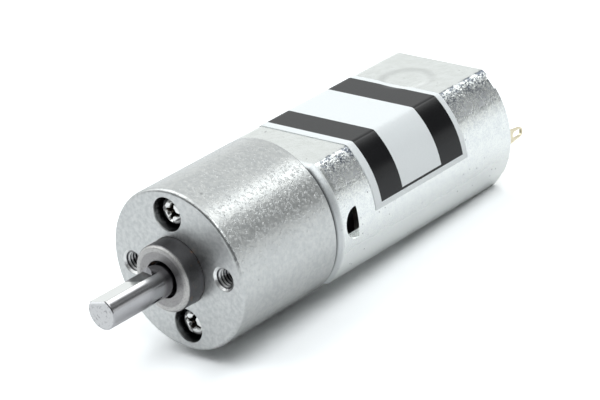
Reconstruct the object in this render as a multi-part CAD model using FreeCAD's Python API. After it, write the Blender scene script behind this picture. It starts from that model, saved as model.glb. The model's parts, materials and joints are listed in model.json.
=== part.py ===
"""Spur gearmotor: a 20 mm gearbox with a D-cut output shaft on a flat-sided motor.

Millimetres. The shaft axis is the Y axis and the output shaft points towards -Y.
The origin is the centre of the gearbox's front face, and +Z is up, square to the
motor's upper flat. Every sub-part is written as its own STEP file in parts/.
"""
import FreeCAD, Part
import math
import os

Vector = FreeCAD.Vector
ALONG = Vector(0, 1, 0)
ORIGIN = Vector(0, 0, 0)

# ---- clearances -------------------------------------------------------------
running_fit = 0.03          # radial play of a turning part on its pin or in its bush
bush_fit = 0.02             # radial play of a shaft in a sintered bearing
end_play = 0.05             # axial gap between neighbours on one shaft or pin
wide_gap = 0.1              # gap beside something that only has to stay clear
sink = 0.1                  # how far a screw or pin end stays below the face it points at

# ---- gearbox case -----------------------------------------------------------
case_radius = 10.0
case_length = 16.3
case_wall = 1.1
front_wall = 3.4
case_edge = 0.45            # rounding of the front outer edge
web_sink = 0.55             # how far the webs behind the screw posts run into the wall
case_turn = 3.8             # the case is turned this many degrees on the motor
plate_thickness = 1.5
plate_step = 0.4            # how much wider the rear plate is than the case's inside

# ---- output bush and shaft --------------------------------------------------
boss_radius = 4.15
boss_height = 2.65
boss_chamfer = 0.3
boss_seat = 0.3             # the boss narrows to its seat in a cone this deep in the front face
bush_seat_radius = 3.6      # part of the bush that is pressed into the front wall
bush_inside = 0.4           # how far the bush stands into the case
mouth_radius = 2.3          # relief at the bush's front mouth
mouth_depth = 0.5
shaft_radius = 2.0
shaft_reach = 12.55         # tip of the shaft ahead of the front face
shaft_over_flat = 3.5       # from the flat to the opposite side
flat_runout = 1.3           # the flat stops this far ahead of the bush
flat_turn = 13.0            # degrees the flat stands turned from +Z towards -X at rest
shaft_chamfer = 0.25
journal_step = 0.01         # the shaft is ground this much smaller where it runs in the bush
spindle_radius = 0.6        # rear end of the output shaft, carries the second gear

# ---- holes in the front face ------------------------------------------------
screw_inset = 3.08          # centre of each long screw inside the case's outer radius
screw_radius = 1.0          # M2
screw_play = 0.05
head_radius = 1.75
head_height = 1.3
head_rim = 0.55             # straight part of the domed head
head_crown_radius = 0.96    # flat middle of the head
head_bulge = 0.14           # how far the dome stands out from a straight cone
head_sink = 0.75            # top of the head below the face
head_room = 0.35            # radial room around the head
screw_angle = 90.0          # long screws, counted from +X towards +Z before the case is turned
recess_radius = 1.05        # reach of the cross recess
recess_width = 0.42
recess_depth = 0.95
recess_floor_radius = 0.47  # reach of the recess at its floor
recess_core_radius = 0.53   # round middle of the recess, at its mouth
recess_core_floor = 0.13    # and at its floor
recess_turns = (14.0, 25.0)  # the crosses came to rest at these angles
post_radius = 2.0           # posts inside the case that the long screws run through
tap_inset = 2.8             # centre of each tapped hole inside the case's outer radius
tap_radius = 1.25           # M2.5
tap_mouth_radius = 1.52
tap_depth = 3.0

# ---- gear train -------------------------------------------------------------
wheel_room = 0.56           # from the tips of a wheel on its pin to the case
pressure_angle = math.radians(25.0)
addendum_modules = 0.8      # height of a tooth above the pitch circle, in modules
dedendum_modules = 1.1      # and below it
flank_play = 0.06           # how much each tooth is thinner than the pitch allows
wheel_teeth = 22
pinion_teeth = 10
output_wheel_width = 2.0
pinion_margin = 0.2         # a pinion is this much longer than the wheel it drives
wheel_gap = 0.4             # axial gap between wheels that pass each other
last_wheel_room = 1.15      # from the last wheel to the heads of the motor's screws
hub_step = 0.07             # a pinion's shoulder is this much smaller than its teeth's roots
pin_radius = 0.5
pin_seat = 1.8              # how deep a pin sits in the front wall
washer_thickness = 0.3
washer_radius = 2.9
thin_washer = 0.2
spacer_radius = 0.9

# ---- motor case -------------------------------------------------------------
can_step = 0.2              # the can's round sides stand this far outside the gearbox case
can_half_height = 7.7
can_length = 32.7
can_wall = 0.8
can_front_wall = 1.0
can_corner = 1.2            # rounding between the can's front and its sides
collar_radius = 3.0         # collar on the can's front that centres it in the plate
collar_height = 1.4
collar_lip = 0.4
motor_screw_circle = 5.0
motor_screw_angle = 45.0
motor_screw_length = 2.5
window_radius = 2.0         # half-round window in each curved side
window_flat = 3.75          # straight edge of the window behind the can's front
window_corner = 0.35
window_overrun = 0.15       # the round side's centre lies this far before the straight edge
dimple_radius = 3.5         # shallow round press mark in each flat
dimple_floor = 3.0
dimple_depth = 0.12
dimple_back = 6.6           # centre of the press mark ahead of the can's rear rim
notch_angle = 51.5          # small notches in the rear rim, from the vertical
notch_width = 1.9
notch_depth = 0.35

# ---- label ------------------------------------------------------------------
label_start = 6.9           # label's front edge behind the can's front
label_length = 17.2
label_thickness = 0.08
label_edge_height = 0.1     # lower edge of the label above the axis

# ---- motor inside -----------------------------------------------------------
motor_shaft_radius = 0.75
bearing_radius = 2.5
bearing_length = 2.3
rear_bearing_radius = 2.4
rear_bearing_length = 2.5
air_gap = 0.5               # between the laminated core and the magnets
magnet_overhang = 2.5       # how far the magnets run past each end of the core
magnet_side_gap = 0.64      # from the edges of a magnet to the can's flat sides
clip_radius = 0.4           # wire of the clip that holds the magnets apart
clip_reach = 0.7            # the clip's cross wire stands this far ahead of the magnets
clip_seat = 1.0             # the wire's legs lie this far outside the magnets' inner faces
core_gap = 0.4              # between the core and the can's flat sides
core_start = 7.7            # laminated core behind the can's front
core_hub_radius = 2.6
pole_width = 2.4
pole_shoe = 0.9
pole_half_angle = 52.0
poles = 3
insulator_thickness = 0.5
winding_overhang = 1.6
winding_clearance = 0.06
winding_half_angle = 55.0
commutator_radius = 2.5
commutator_hub_radius = 1.9
commutator_gap = 0.6        # from the windings to the commutator
commutator_length = 4.6
commutator_slot = 0.35
riser_reach = 0.5           # hooks that the wires are joined to
riser_length = 0.5
riser_half_angle = 12.0
sleeve_radius = 1.55        # sleeves that set the rotor's place between its bearings
rear_sleeve = 0.95

# ---- end cap, brushes and terminals -----------------------------------------
cap_recess = 0.4            # cap's rear face below the can's rim
cap_thickness = 1.8
cap_skirt = 3.2
cap_skirt_wall = 0.5
cap_boss_radius = 3.4
cap_boss_height = 1.8
cap_boss_floor = 0.5
brush_thickness = 1.2
brush_width = 1.6
brush_length = 1.6
brush_back = 1.4            # brush's rear edge ahead of the commutator's rear end
arm_thickness = 0.2
arm_top = 1.2
terminal_inset = 1.5        # inner face of each terminal inside the can's inner radius
terminal_thickness = 0.4
terminal_width = 2.2
terminal_height = -1.9      # centre of the terminals against the motor axis
terminal_reach = 4.6        # tip of the terminal behind the can's rim
terminal_tip_radius = 0.65
terminal_eye_radius = 0.42
terminal_eye_length = 0.9

# ---- sizes and places along the axis, worked out from the sizes above ------------
case_inside = case_radius - case_wall
screw_circle_radius = case_radius - screw_inset
tap_circle_radius = case_radius - tap_inset
plate_front = case_length - plate_thickness
can_radius = case_radius + can_step
can_front = case_length
can_rear = can_front + can_length
can_inside_front = can_front + can_front_wall
can_inside_radius = can_radius - can_wall
can_inside_half_height = can_half_height - can_wall

bush_rear = front_wall + bush_inside
output_wheel_front = bush_rear + end_play + washer_thickness + end_play
output_wheel_rear = output_wheel_front + output_wheel_width
second_front = output_wheel_rear + end_play + thin_washer + end_play
# three wheels and the gaps between them fill the rest of the case
first_wheel_rear = plate_front - head_height - last_wheel_room
wheels_span = first_wheel_rear - output_wheel_rear - 2.5 * wheel_gap - thin_washer
wheel_width = wheels_span / 3
third_wheel_front = output_wheel_rear + wheel_gap
third_wheel_rear = third_wheel_front + wheel_width
second_wheel_front = third_wheel_rear + wheel_gap / 2
second_wheel_rear = second_wheel_front + wheel_width
first_wheel_front = second_wheel_rear + wheel_gap + thin_washer
third_front = output_wheel_front - pinion_margin / 2
first_front = second_wheel_front - pinion_margin / 2
spindle_end = second_wheel_rear + 2 * end_play + thin_washer
motor_pinion_front = spindle_end + end_play
motor_pinion_rear = first_wheel_rear + pinion_margin

# the outermost wheel's tips reach to wheel_room from the case, which sets the module
module = (case_inside - wheel_room) / (wheel_teeth + pinion_teeth / 2 + addendum_modules)
addendum = addendum_modules * module
dedendum = dedendum_modules * module
wheel_pitch_radius = module * wheel_teeth / 2
pinion_pitch_radius = module * pinion_teeth / 2
gear_distance = wheel_pitch_radius + pinion_pitch_radius
hub_radius = pinion_pitch_radius - dedendum - hub_step

bearing_front = can_front - collar_height + collar_lip
bearing_rear = bearing_front + bearing_length
cap_rear = can_rear - cap_recess
cap_front = cap_rear - cap_thickness
cap_skirt_front = cap_front - cap_skirt
cap_boss_rear = cap_rear + cap_boss_height
rear_bearing_rear = cap_boss_rear - cap_boss_floor
rear_bearing_front = rear_bearing_rear - rear_bearing_length
rear_sleeve_front = rear_bearing_front - end_play - rear_sleeve
commutator_rear = rear_sleeve_front - 2 * end_play
commutator_front = commutator_rear - commutator_length
brush_rear = commutator_rear - brush_back
brush_front = brush_rear - brush_length
winding_rear = commutator_front - commutator_gap
core_rear = winding_rear - winding_overhang - insulator_thickness
core_front = can_front + core_start
winding_front = core_front - insulator_thickness - winding_overhang
magnet_front = core_front - magnet_overhang
magnet_rear = core_rear + magnet_overhang

# ---- places across the axis -----------------------------------------------------
core_radius = can_inside_half_height - core_gap
magnet_outside = can_inside_radius - end_play
magnet_inside = core_radius + air_gap
magnet_half_angle = math.degrees(
    math.asin((can_inside_half_height - magnet_side_gap) / magnet_outside))
terminal_offset = can_inside_radius - terminal_inset


# ---- building blocks ----------------------------------------------------------
def rod(radius, front, rear, x=0.0, z=0.0):
    """A round bar along Y."""
    return Part.makeCylinder(radius, rear - front, Vector(x, front, z), ALONG)


def ring(outer, inner, front, rear, x=0.0, z=0.0):
    """A tube or washer along Y."""
    return rod(outer, front, rear, x, z).cut(rod(inner, front, rear, x, z))


def block(x0, x1, y0, y1, z0, z1):
    """A box between two corners."""
    return Part.makeBox(x1 - x0, y1 - y0, z1 - z0, Vector(x0, y0, z0))


def turned(points):
    """A body of revolution about the Y axis from (radius, y) corners."""
    corners = [Vector(radius, y, 0) for radius, y in points]
    outline = Part.makePolygon(corners + corners[:1])
    return Part.Face(outline).revolve(ORIGIN, ALONG, 360)


def turn_about_axis(shape, degrees):
    """Turn a shape about the Y axis, from +X towards +Z."""
    result = shape.copy()
    result.rotate(ORIGIN, Vector(0, -1, 0), degrees)
    return result


def mirrored(shape):
    """The same piece on the other side of the plane x = 0."""
    return shape.mirror(ORIGIN, Vector(1, 0, 0))


def both_sides(shape):
    """A piece and its mirror image, as a group of separate solids."""
    return Part.makeCompound([shape, mirrored(shape)])


def polar(radius, degrees):
    """X and Z of a point at a radius, counted from +X towards +Z."""
    angle = math.radians(degrees)
    return radius * math.cos(angle), radius * math.sin(angle)


def arc_through(radius, start, end, height):
    """An arc about the Y axis between two angles in radians."""
    angles = (start, (start + end) / 2, end)
    points = [Vector(radius * math.cos(a), height, radius * math.sin(a)) for a in angles]
    return Part.Arc(*points).toShape()


def sector(outer, inner, start, end, front, rear):
    """Part of a ring between two angles in degrees."""
    first, last = math.radians(start), math.radians(end)
    edges = [
        arc_through(outer, first, last, front),
        Part.makeLine(point_at(outer, last, front), point_at(inner, last, front)),
        arc_through(inner, last, first, front),
        Part.makeLine(point_at(inner, first, front), point_at(outer, first, front)),
    ]
    return Part.Face(Part.Wire(edges)).extrude(Vector(0, rear - front, 0))


def point_at(radius, angle, height):
    """A point at a radius and an angle in radians about the Y axis."""
    return Vector(radius * math.cos(angle), height, radius * math.sin(angle))


def can_block(radius, half_height, front, rear, corner):
    """A round bar with two flats, its front edge rounded all the way round."""
    bend = corner * math.sqrt(0.5)
    round_edge = [
        Part.makeLine(Vector(0, front, 0), Vector(radius - corner, front, 0)),
        Part.Arc(
            Vector(radius - corner, front, 0),
            Vector(radius - corner + bend, front + corner - bend, 0),
            Vector(radius, front + corner, 0),
        ).toShape(),
        Part.makeLine(Vector(radius, front + corner, 0), Vector(radius, rear, 0)),
        Part.makeLine(Vector(radius, rear, 0), Vector(0, rear, 0)),
        Part.makeLine(Vector(0, rear, 0), Vector(0, front, 0)),
    ]
    turned_bar = Part.Face(Part.Wire(round_edge)).revolve(ORIGIN, ALONG, 360)
    flats = block(-radius, radius, front, rear, -half_height, half_height)
    front_edges = [
        edge for edge in flats.Edges
        if all(abs(v.Y - front) < 1e-6 for v in edge.Vertexes)
        and abs(edge.Vertexes[0].X - edge.Vertexes[1].X) > radius
    ]
    return turned_bar.common(flats.makeFillet(corner, front_edges))


# ---- gears ----------------------------------------------------------------------
def half_tooth_angle(teeth, radius):
    """Half the angle that one involute tooth takes up at a radius."""
    pitch_radius = module * teeth / 2
    base_radius = pitch_radius * math.cos(pressure_angle)
    at_radius = math.acos(min(1.0, base_radius / radius))
    at_pitch = math.tan(pressure_angle) - pressure_angle
    thickness = math.pi * module / 2 - flank_play
    return thickness / (2 * pitch_radius) + at_pitch - (math.tan(at_radius) - at_radius)


def gear(teeth, front, rear, bore, first_tooth):
    """A spur gear about the Y axis with one tooth centred on the angle first_tooth."""
    pitch_radius = module * teeth / 2
    base_radius = pitch_radius * math.cos(pressure_angle)
    tip_radius = pitch_radius + addendum
    root_radius = pitch_radius - dedendum
    flank_start = max(base_radius, root_radius)
    steps = 5
    radii = [flank_start + (tip_radius - flank_start) * i / steps for i in range(steps + 1)]
    offsets = [half_tooth_angle(teeth, radius) for radius in radii]
    pitch = 2 * math.pi / teeth
    edges = []
    for tooth in range(teeth):
        centre = math.radians(first_tooth) + tooth * pitch
        rising = [point_at(r, centre - a, front) for r, a in zip(radii, offsets)]
        falling = [point_at(r, centre + a, front) for r, a in zip(radii, offsets)][::-1]
        foot = offsets[0]
        if root_radius < flank_start:
            edges.append(Part.makeLine(point_at(root_radius, centre - foot, front), rising[0]))
        flank = Part.BSplineCurve()
        flank.interpolate(rising)
        edges.append(flank.toShape())
        edges.append(arc_through(tip_radius, centre - offsets[-1], centre + offsets[-1], front))
        flank = Part.BSplineCurve()
        flank.interpolate(falling)
        edges.append(flank.toShape())
        if root_radius < flank_start:
            edges.append(Part.makeLine(falling[-1], point_at(root_radius, centre + foot, front)))
        edges.append(arc_through(root_radius, centre + foot, centre + pitch - foot, front))
    blank = Part.Face(Part.Wire(edges)).extrude(Vector(0, rear - front, 0))
    return blank.cut(rod(bore, front, rear))


def place_gear(shape, side):
    """Put a gear on its pin: side is -1, 0 or 1 along the line of the pins."""
    moved = shape.copy()
    moved.translate(Vector(side * gear_distance, 0, 0))
    return turn_about_axis(moved, case_turn)


def space_facing(degrees):
    """Angle of a wheel's first tooth, so that a gap between teeth faces this way."""
    return degrees + 180.0 / wheel_teeth


def wheel(front, rear, bore, side, mate_angle):
    """A wheel whose tooth gap faces the pinion that drives it."""
    return place_gear(gear(wheel_teeth, front, rear, bore, space_facing(mate_angle)), side)


def pinion(front, teeth_rear, hub_rear, bore, side, mate_angle):
    """A pinion with a tooth facing its wheel, and a round shoulder behind its teeth."""
    teeth = gear(pinion_teeth, front, teeth_rear, bore, mate_angle)
    shoulder = ring(hub_radius, bore, teeth_rear, hub_rear)
    return place_gear(teeth.fuse(shoulder).removeSplitter(), side)


# ---- gearbox ----------------------------------------------------------------------
def screw_places(circle_radius, first_angle):
    """Two opposite places on a circle."""
    return [polar(circle_radius, first_angle), polar(circle_radius, first_angle + 180)]


def gearbox_housing():
    outer = rod(case_radius, 0, case_length)
    front_rim = [
        edge for edge in outer.Edges
        if len(edge.Vertexes) == 1 and abs(edge.Vertexes[0].Y) < 1e-6
    ]
    body = outer.makeFillet(case_edge, front_rim)
    body = body.cut(rod(case_inside, front_wall, case_length))
    body = body.cut(rod(case_inside + plate_step, plate_front, case_length))
    head_bore = head_radius + head_room
    seat = head_sink + head_height
    web_reach = case_inside + web_sink
    for x, z in screw_places(screw_circle_radius, screw_angle):
        post = rod(post_radius, front_wall, plate_front, x, z)
        low, high = sorted((z, math.copysign(web_reach, z)))
        web = block(-post_radius, post_radius, front_wall, plate_front, low, high)
        body = body.fuse(post.fuse(web.common(rod(web_reach, front_wall, plate_front))))
        body = body.cut(rod(head_bore, 0, seat, x, z))
        body = body.cut(rod(screw_radius + screw_play, seat, plate_front, x, z))
    for x, z in screw_places(tap_circle_radius, 0):
        body = body.cut(rod(tap_radius, 0, tap_depth, x, z))
        mouth = Part.makeCone(
            tap_mouth_radius, tap_radius, tap_mouth_radius - tap_radius, Vector(x, 0, z), ALONG)
        body = body.cut(mouth)
    for side in (-1, 1):
        body = body.cut(rod(pin_radius, front_wall - pin_seat, front_wall, side * gear_distance))
    shoulder = Part.makeCone(boss_radius, bush_seat_radius, boss_seat, Vector(0, 0, 0), ALONG)
    body = body.cut(shoulder)
    body = body.cut(rod(bush_seat_radius, boss_seat, front_wall))
    return turn_about_axis(body.removeSplitter(), case_turn)


def output_bush():
    bore = shaft_radius + bush_fit
    front = -boss_height
    return turned([
        (mouth_radius, front),
        (boss_radius - boss_chamfer, front),
        (boss_radius, front + boss_chamfer),
        (boss_radius, 0),
        (bush_seat_radius, boss_seat),
        (bush_seat_radius, front_wall),
        (washer_radius, front_wall),
        (washer_radius, bush_rear),
        (bore, bush_rear),
        (bore, front + mouth_depth + mouth_radius - bore),
        (mouth_radius, front + mouth_depth),
    ])


def gear_plate():
    plate = rod(case_inside + plate_step, plate_front, case_length)
    for x, z in screw_places(screw_circle_radius, screw_angle):
        plate = plate.cut(rod(screw_radius, plate_front, case_length, x, z))
    for side in (-1, 1):
        plate = plate.cut(rod(pin_radius, plate_front, case_length, side * gear_distance))
    plate = turn_about_axis(plate, case_turn)
    plate = plate.cut(rod(collar_radius + end_play, plate_front, case_length))
    for x, z in screw_places(motor_screw_circle, motor_screw_angle):
        plate = plate.cut(rod(screw_radius + screw_play, plate_front, case_length, x, z))
    return plate


def gear_pins():
    pins = [
        rod(pin_radius, front_wall - pin_seat, case_length - sink, side * gear_distance)
        for side in (-1, 1)
    ]
    return turn_about_axis(Part.makeCompound(pins), case_turn)


def pin_spacers():
    """Sleeves on the pins that keep the gears at their place along the axis."""
    bore = pin_radius + running_fit
    spans = [
        (1, front_wall + end_play, first_front - end_play),
        (1, first_wheel_rear + end_play, plate_front - end_play),
        (-1, front_wall + end_play, third_front - end_play),
        (-1, third_wheel_rear + end_play, plate_front - end_play),
    ]
    sleeves = [
        ring(spacer_radius, bore, front, rear, side * gear_distance) for side, front, rear in spans
    ]
    return turn_about_axis(Part.makeCompound(sleeves), case_turn)


def output_washer():
    front = bush_rear + end_play
    return ring(washer_radius, shaft_radius + running_fit, front, front + washer_thickness)


def cross_recess(turn):
    """A tapered cross recess with its mouth at y = 0, cut towards +Y."""
    half = recess_width / 2
    slots = []
    for angle in (0, 90):
        outline = Part.makePolygon([
            Vector(-recess_radius, 0, -half),
            Vector(recess_radius, 0, -half),
            Vector(recess_floor_radius, recess_depth, -half),
            Vector(-recess_floor_radius, recess_depth, -half),
            Vector(-recess_radius, 0, -half),
        ])
        slot = Part.Face(outline).extrude(Vector(0, 0, recess_width))
        slots.append(turn_about_axis(slot, angle + turn))
    core = Part.makeCone(recess_core_radius, recess_core_floor, recess_depth, ORIGIN, ALONG)
    return slots[0].fuse(slots[1]).fuse(core)


def pan_screw(tip, turn):
    """A pan head screw along +Y with the top of its head at y = 0."""
    crown = Vector(head_crown_radius, 0, 0)
    rim = Vector(head_radius, head_height - head_rim, 0)
    outward = (rim - crown).cross(Vector(0, 0, 1)).normalize()
    middle = (crown + rim) / 2 + outward * head_bulge
    dome = [
        Part.makeLine(ORIGIN, crown),
        Part.Arc(crown, middle, rim).toShape(),
        Part.makeLine(rim, Vector(head_radius, head_height, 0)),
        Part.makeLine(Vector(head_radius, head_height, 0), Vector(screw_radius, head_height, 0)),
        Part.makeLine(Vector(screw_radius, head_height, 0), Vector(screw_radius, tip, 0)),
        Part.makeLine(Vector(screw_radius, tip, 0), Vector(0, tip, 0)),
        Part.makeLine(Vector(0, tip, 0), ORIGIN),
    ]
    screw = Part.Face(Part.Wire(dome)).revolve(ORIGIN, ALONG, 360)
    return screw.cut(cross_recess(turn))


def housing_screws():
    """Two long screws from the front of the case into the rear plate."""
    screws = []
    places = screw_places(screw_circle_radius, screw_angle + case_turn)
    for (x, z), turn in zip(places, recess_turns):
        screw = pan_screw(case_length - 2 * sink - head_sink, turn)
        screw.translate(Vector(x, head_sink, z))
        screws.append(screw)
    return Part.makeCompound(screws)


def motor_screws():
    """Two short screws from inside the gearbox into the motor's front."""
    screws = []
    for (x, z), turn in zip(screw_places(motor_screw_circle, motor_screw_angle), recess_turns):
        screw = pan_screw(head_height + motor_screw_length, turn)
        screw.translate(Vector(x, plate_front - head_height, z))
        screws.append(screw)
    return Part.makeCompound(screws)


def output_shaft():
    tip = -shaft_reach
    flat_end = -boss_height - flat_runout
    journal_radius = shaft_radius - journal_step
    shaft = turned([
        (0, tip),
        (shaft_radius - shaft_chamfer, tip),
        (shaft_radius, tip + shaft_chamfer),
        (shaft_radius, flat_end),
        (journal_radius, -boss_height),
        (journal_radius, bush_rear + end_play),
        (shaft_radius, bush_rear + end_play),
        (shaft_radius, output_wheel_rear),
        (spindle_radius, output_wheel_rear),
        (spindle_radius, spindle_end),
        (0, spindle_end),
    ])
    flat = shaft_over_flat - shaft_radius
    cutter = block(-shaft_radius, shaft_radius, tip, flat_end, flat, shaft_radius)
    return shaft.cut(turn_about_axis(cutter, flat_turn))


def output_gear():
    return wheel(output_wheel_front, output_wheel_rear, shaft_radius, 0, 180)


def spindle_washers():
    """Thin washers in front of and behind the gear that turns on the spindle."""
    bore = spindle_radius
    spans = (output_wheel_rear + end_play, second_wheel_rear + end_play)
    return Part.makeCompound([
        ring(hub_radius, bore, front, front + thin_washer) for front in spans
    ])


# ---- motor case ---------------------------------------------------------------------
def window_cutter():
    """A half-round window that runs along X through both curved sides."""
    flat = can_front + window_flat
    centre = flat - window_overrun
    reach = window_radius - window_corner
    corner_y = flat - window_corner
    corner_z = math.sqrt(reach ** 2 - (corner_y - centre) ** 2)
    stretch = window_radius / reach
    round_end = centre + (corner_y - centre) * stretch
    bend = window_corner * math.sqrt(0.5)
    x = -can_radius
    edges = [
        Part.makeLine(Vector(x, flat, -corner_z), Vector(x, flat, corner_z)),
        Part.Arc(
            Vector(x, round_end, corner_z * stretch),
            Vector(x, centre - window_radius, 0),
            Vector(x, round_end, -corner_z * stretch),
        ).toShape(),
    ]
    for side in (-1, 1):
        edges.append(Part.Arc(
            Vector(x, flat, side * corner_z),
            Vector(x, corner_y + bend, side * (corner_z + bend)),
            Vector(x, round_end, side * corner_z * stretch),
        ).toShape())
    outline = Part.Wire(Part.__sortEdges__(edges))
    return Part.Face(outline).extrude(Vector(2 * can_radius, 0, 0))


def motor_can():
    can = can_block(can_radius, can_half_height, can_front, can_rear, can_corner)
    collar = rod(collar_radius, can_front - collar_height, can_inside_front)
    can = can.fuse(collar)
    hollow = can_block(
        can_inside_radius, can_inside_half_height, can_inside_front, can_rear,
        can_corner - can_wall)
    can = can.cut(hollow)
    can = can.cut(rod(bearing_radius, bearing_front, can_inside_front))
    can = can.cut(rod(motor_shaft_radius + can_wall, can_front - collar_height, bearing_front))
    for x, z in screw_places(motor_screw_circle, motor_screw_angle):
        can = can.cut(rod(screw_radius, can_front, can_inside_front, x, z))
    can = can.cut(window_cutter())
    for side in (-1, 1):
        top = Vector(0, can_rear - dimple_back, side * can_half_height)
        mark = Part.makeCone(dimple_radius, dimple_floor, dimple_depth, top, Vector(0, 0, -side))
        can = can.cut(mark)
    for angle in (90 - notch_angle, 90 + notch_angle, 270 - notch_angle, 270 + notch_angle):
        notch = block(
            can_inside_radius - can_wall, can_radius + can_wall, can_rear - notch_depth, can_rear,
            -notch_width / 2, notch_width / 2)
        can = can.cut(turn_about_axis(notch, angle))
    return can.removeSplitter()


def label():
    """The paper label that wraps over the upper flat and down both curved sides."""
    front = can_front + label_start
    rear = front + label_length
    thick = label_thickness
    outer = rod(can_radius + thick, front, rear).common(block(
        -can_radius - thick, can_radius + thick, front, rear,
        label_edge_height, can_half_height + thick))
    inner = rod(can_radius, front, rear).common(
        block(-can_radius, can_radius, front, rear, 0, can_half_height))
    return outer.cut(inner)


# ---- motor inside ---------------------------------------------------------------------
def front_bearing():
    return ring(bearing_radius, motor_shaft_radius + bush_fit, bearing_front, bearing_rear)


def rear_bearing():
    return ring(
        rear_bearing_radius, motor_shaft_radius + bush_fit, rear_bearing_front, rear_bearing_rear)


def magnets():
    return both_sides(sector(
        magnet_outside, magnet_inside, -magnet_half_angle, magnet_half_angle,
        magnet_front, magnet_rear))


def magnet_clip():
    """A U of spring wire whose legs press the two magnets against the can."""
    angle = math.radians(magnet_half_angle)
    seat = magnet_inside + clip_seat
    gap = clip_radius + end_play
    x = seat * math.cos(angle) - gap * math.sin(angle)
    z = seat * math.sin(angle) + gap * math.cos(angle)
    front = magnet_front - clip_reach
    leg = rod(clip_radius, front, magnet_rear, x, z)
    cross = Part.makeCylinder(clip_radius, 2 * x, Vector(-x, front, z), Vector(1, 0, 0))
    bend = Part.makeSphere(clip_radius, Vector(x, front, z))
    return leg.fuse([mirrored(leg), cross, bend, mirrored(bend)]).removeSplitter()


def pole_angles():
    return [90 + pole * 360 / poles for pole in range(poles)]


def pole_arm(half_width, outer, front, rear, angle):
    """One straight arm from the axis outwards."""
    return turn_about_axis(block(0, outer, front, rear, -half_width, half_width), angle)


def armature_plate(front, rear, trim):
    """The three-pole outline of the laminations, made smaller by trim all round."""
    shape = rod(core_hub_radius - trim, front, rear)
    shoe_inside = core_radius - pole_shoe
    for angle in pole_angles():
        arm = pole_arm(pole_width / 2 - trim, shoe_inside + pole_shoe / 2, front, rear, angle)
        shoe = sector(
            core_radius - trim, shoe_inside + trim, angle - pole_half_angle,
            angle + pole_half_angle, front, rear)
        shape = shape.fuse([arm, shoe])
    return shape.cut(rod(motor_shaft_radius, front, rear)).removeSplitter()


def rotor_core():
    return armature_plate(core_front, core_rear, 0)


def rotor_insulators():
    front = armature_plate(core_front - insulator_thickness, core_front, end_play)
    rear = armature_plate(core_rear, core_rear + insulator_thickness, end_play)
    return Part.makeCompound([front, rear])


def rotor_windings():
    """One coil around each pole: a closed loop that fills half of two slots."""
    inner = core_hub_radius + winding_clearance
    outer = core_radius - pole_shoe - winding_clearance
    slot_front = core_front - insulator_thickness
    slot_rear = core_rear + insulator_thickness
    coils = []
    for angle in pole_angles():
        coil = sector(
            outer, inner, angle - winding_half_angle, angle + winding_half_angle,
            winding_front, winding_rear)
        arm = pole_arm(
            pole_width / 2 + winding_clearance, core_radius, slot_front, slot_rear, angle)
        coils.append(coil.cut(arm))
    return Part.makeCompound(coils)


def motor_shaft():
    return rod(motor_shaft_radius, motor_pinion_front, rear_bearing_rear - end_play)


def motor_pinion():
    teeth = gear(pinion_teeth, motor_pinion_front, motor_pinion_rear, motor_shaft_radius, 0)
    return turn_about_axis(teeth, case_turn)


def commutator_hub():
    return ring(
        commutator_hub_radius, motor_shaft_radius, commutator_front - commutator_gap / 2,
        commutator_rear + end_play)


def commutator_segments():
    """Three copper segments, each with a hook that its wires are joined to."""
    half_slot = math.degrees(commutator_slot / 2 / commutator_hub_radius)
    half_bar = 180 / poles - half_slot
    segments = []
    for angle in pole_angles():
        bar = sector(
            commutator_radius, commutator_hub_radius, angle - half_bar, angle + half_bar,
            commutator_front, commutator_rear)
        riser = sector(
            commutator_radius + riser_reach, commutator_hub_radius,
            angle - riser_half_angle, angle + riser_half_angle,
            commutator_front, commutator_front + riser_length)
        segments.append(bar.fuse(riser).removeSplitter())
    return Part.makeCompound(segments)


def rotor_washers():
    """Sleeves and washers that set the rotor's place between the two bearings."""
    spans = (
        (bearing_rear + end_play, winding_front - end_play),
        (rear_sleeve_front, rear_bearing_front - end_play),
    )
    return Part.makeCompound([
        ring(sleeve_radius, motor_shaft_radius, front, rear) for front, rear in spans
    ])


# ---- end cap, brushes and terminals ---------------------------------------------------
def terminal_slot(gap):
    """The box that a terminal's blade takes up in the cap, widened by gap."""
    half = terminal_width / 2 + gap
    return block(
        terminal_offset - gap, terminal_offset + terminal_thickness + gap,
        cap_skirt_front, cap_rear, terminal_height - half, terminal_height + half)


def end_cap():
    outside = can_inside_radius - end_play
    flat = can_inside_half_height - end_play
    round_bar = rod(outside, cap_skirt_front, cap_rear)
    cap = round_bar.common(
        block(-outside, outside, cap_skirt_front, cap_rear, -flat, flat))
    room = rod(outside - cap_skirt_wall, cap_skirt_front, cap_front).common(block(
        -outside, outside, cap_skirt_front, cap_front,
        cap_skirt_wall - flat, flat - cap_skirt_wall))
    cap = cap.cut(room)
    cap = cap.fuse(rod(cap_boss_radius, cap_front, cap_boss_rear))
    cap = cap.cut(rod(rear_bearing_radius, cap_front, rear_bearing_rear))
    cap = cap.cut(rod(motor_shaft_radius + wide_gap, rear_bearing_rear, cap_boss_rear))
    slot = terminal_slot(end_play)
    return cap.cut(slot).cut(mirrored(slot)).removeSplitter()


def brushes():
    inner = commutator_radius + end_play
    return both_sides(block(
        inner, inner + brush_thickness, brush_front, brush_rear,
        -brush_width / 2, brush_width / 2))


def brush_arms():
    """Leaf springs that carry the brushes, each with a foot that meets its terminal."""
    inner = commutator_radius + end_play + brush_thickness
    low = terminal_height - terminal_width / 2
    leaf = block(inner, inner + arm_thickness, brush_front, brush_rear, low, arm_top)
    foot = block(inner, terminal_offset, brush_front, brush_rear, low, low + arm_thickness)
    return both_sides(leaf.fuse(foot).removeSplitter())


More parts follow.
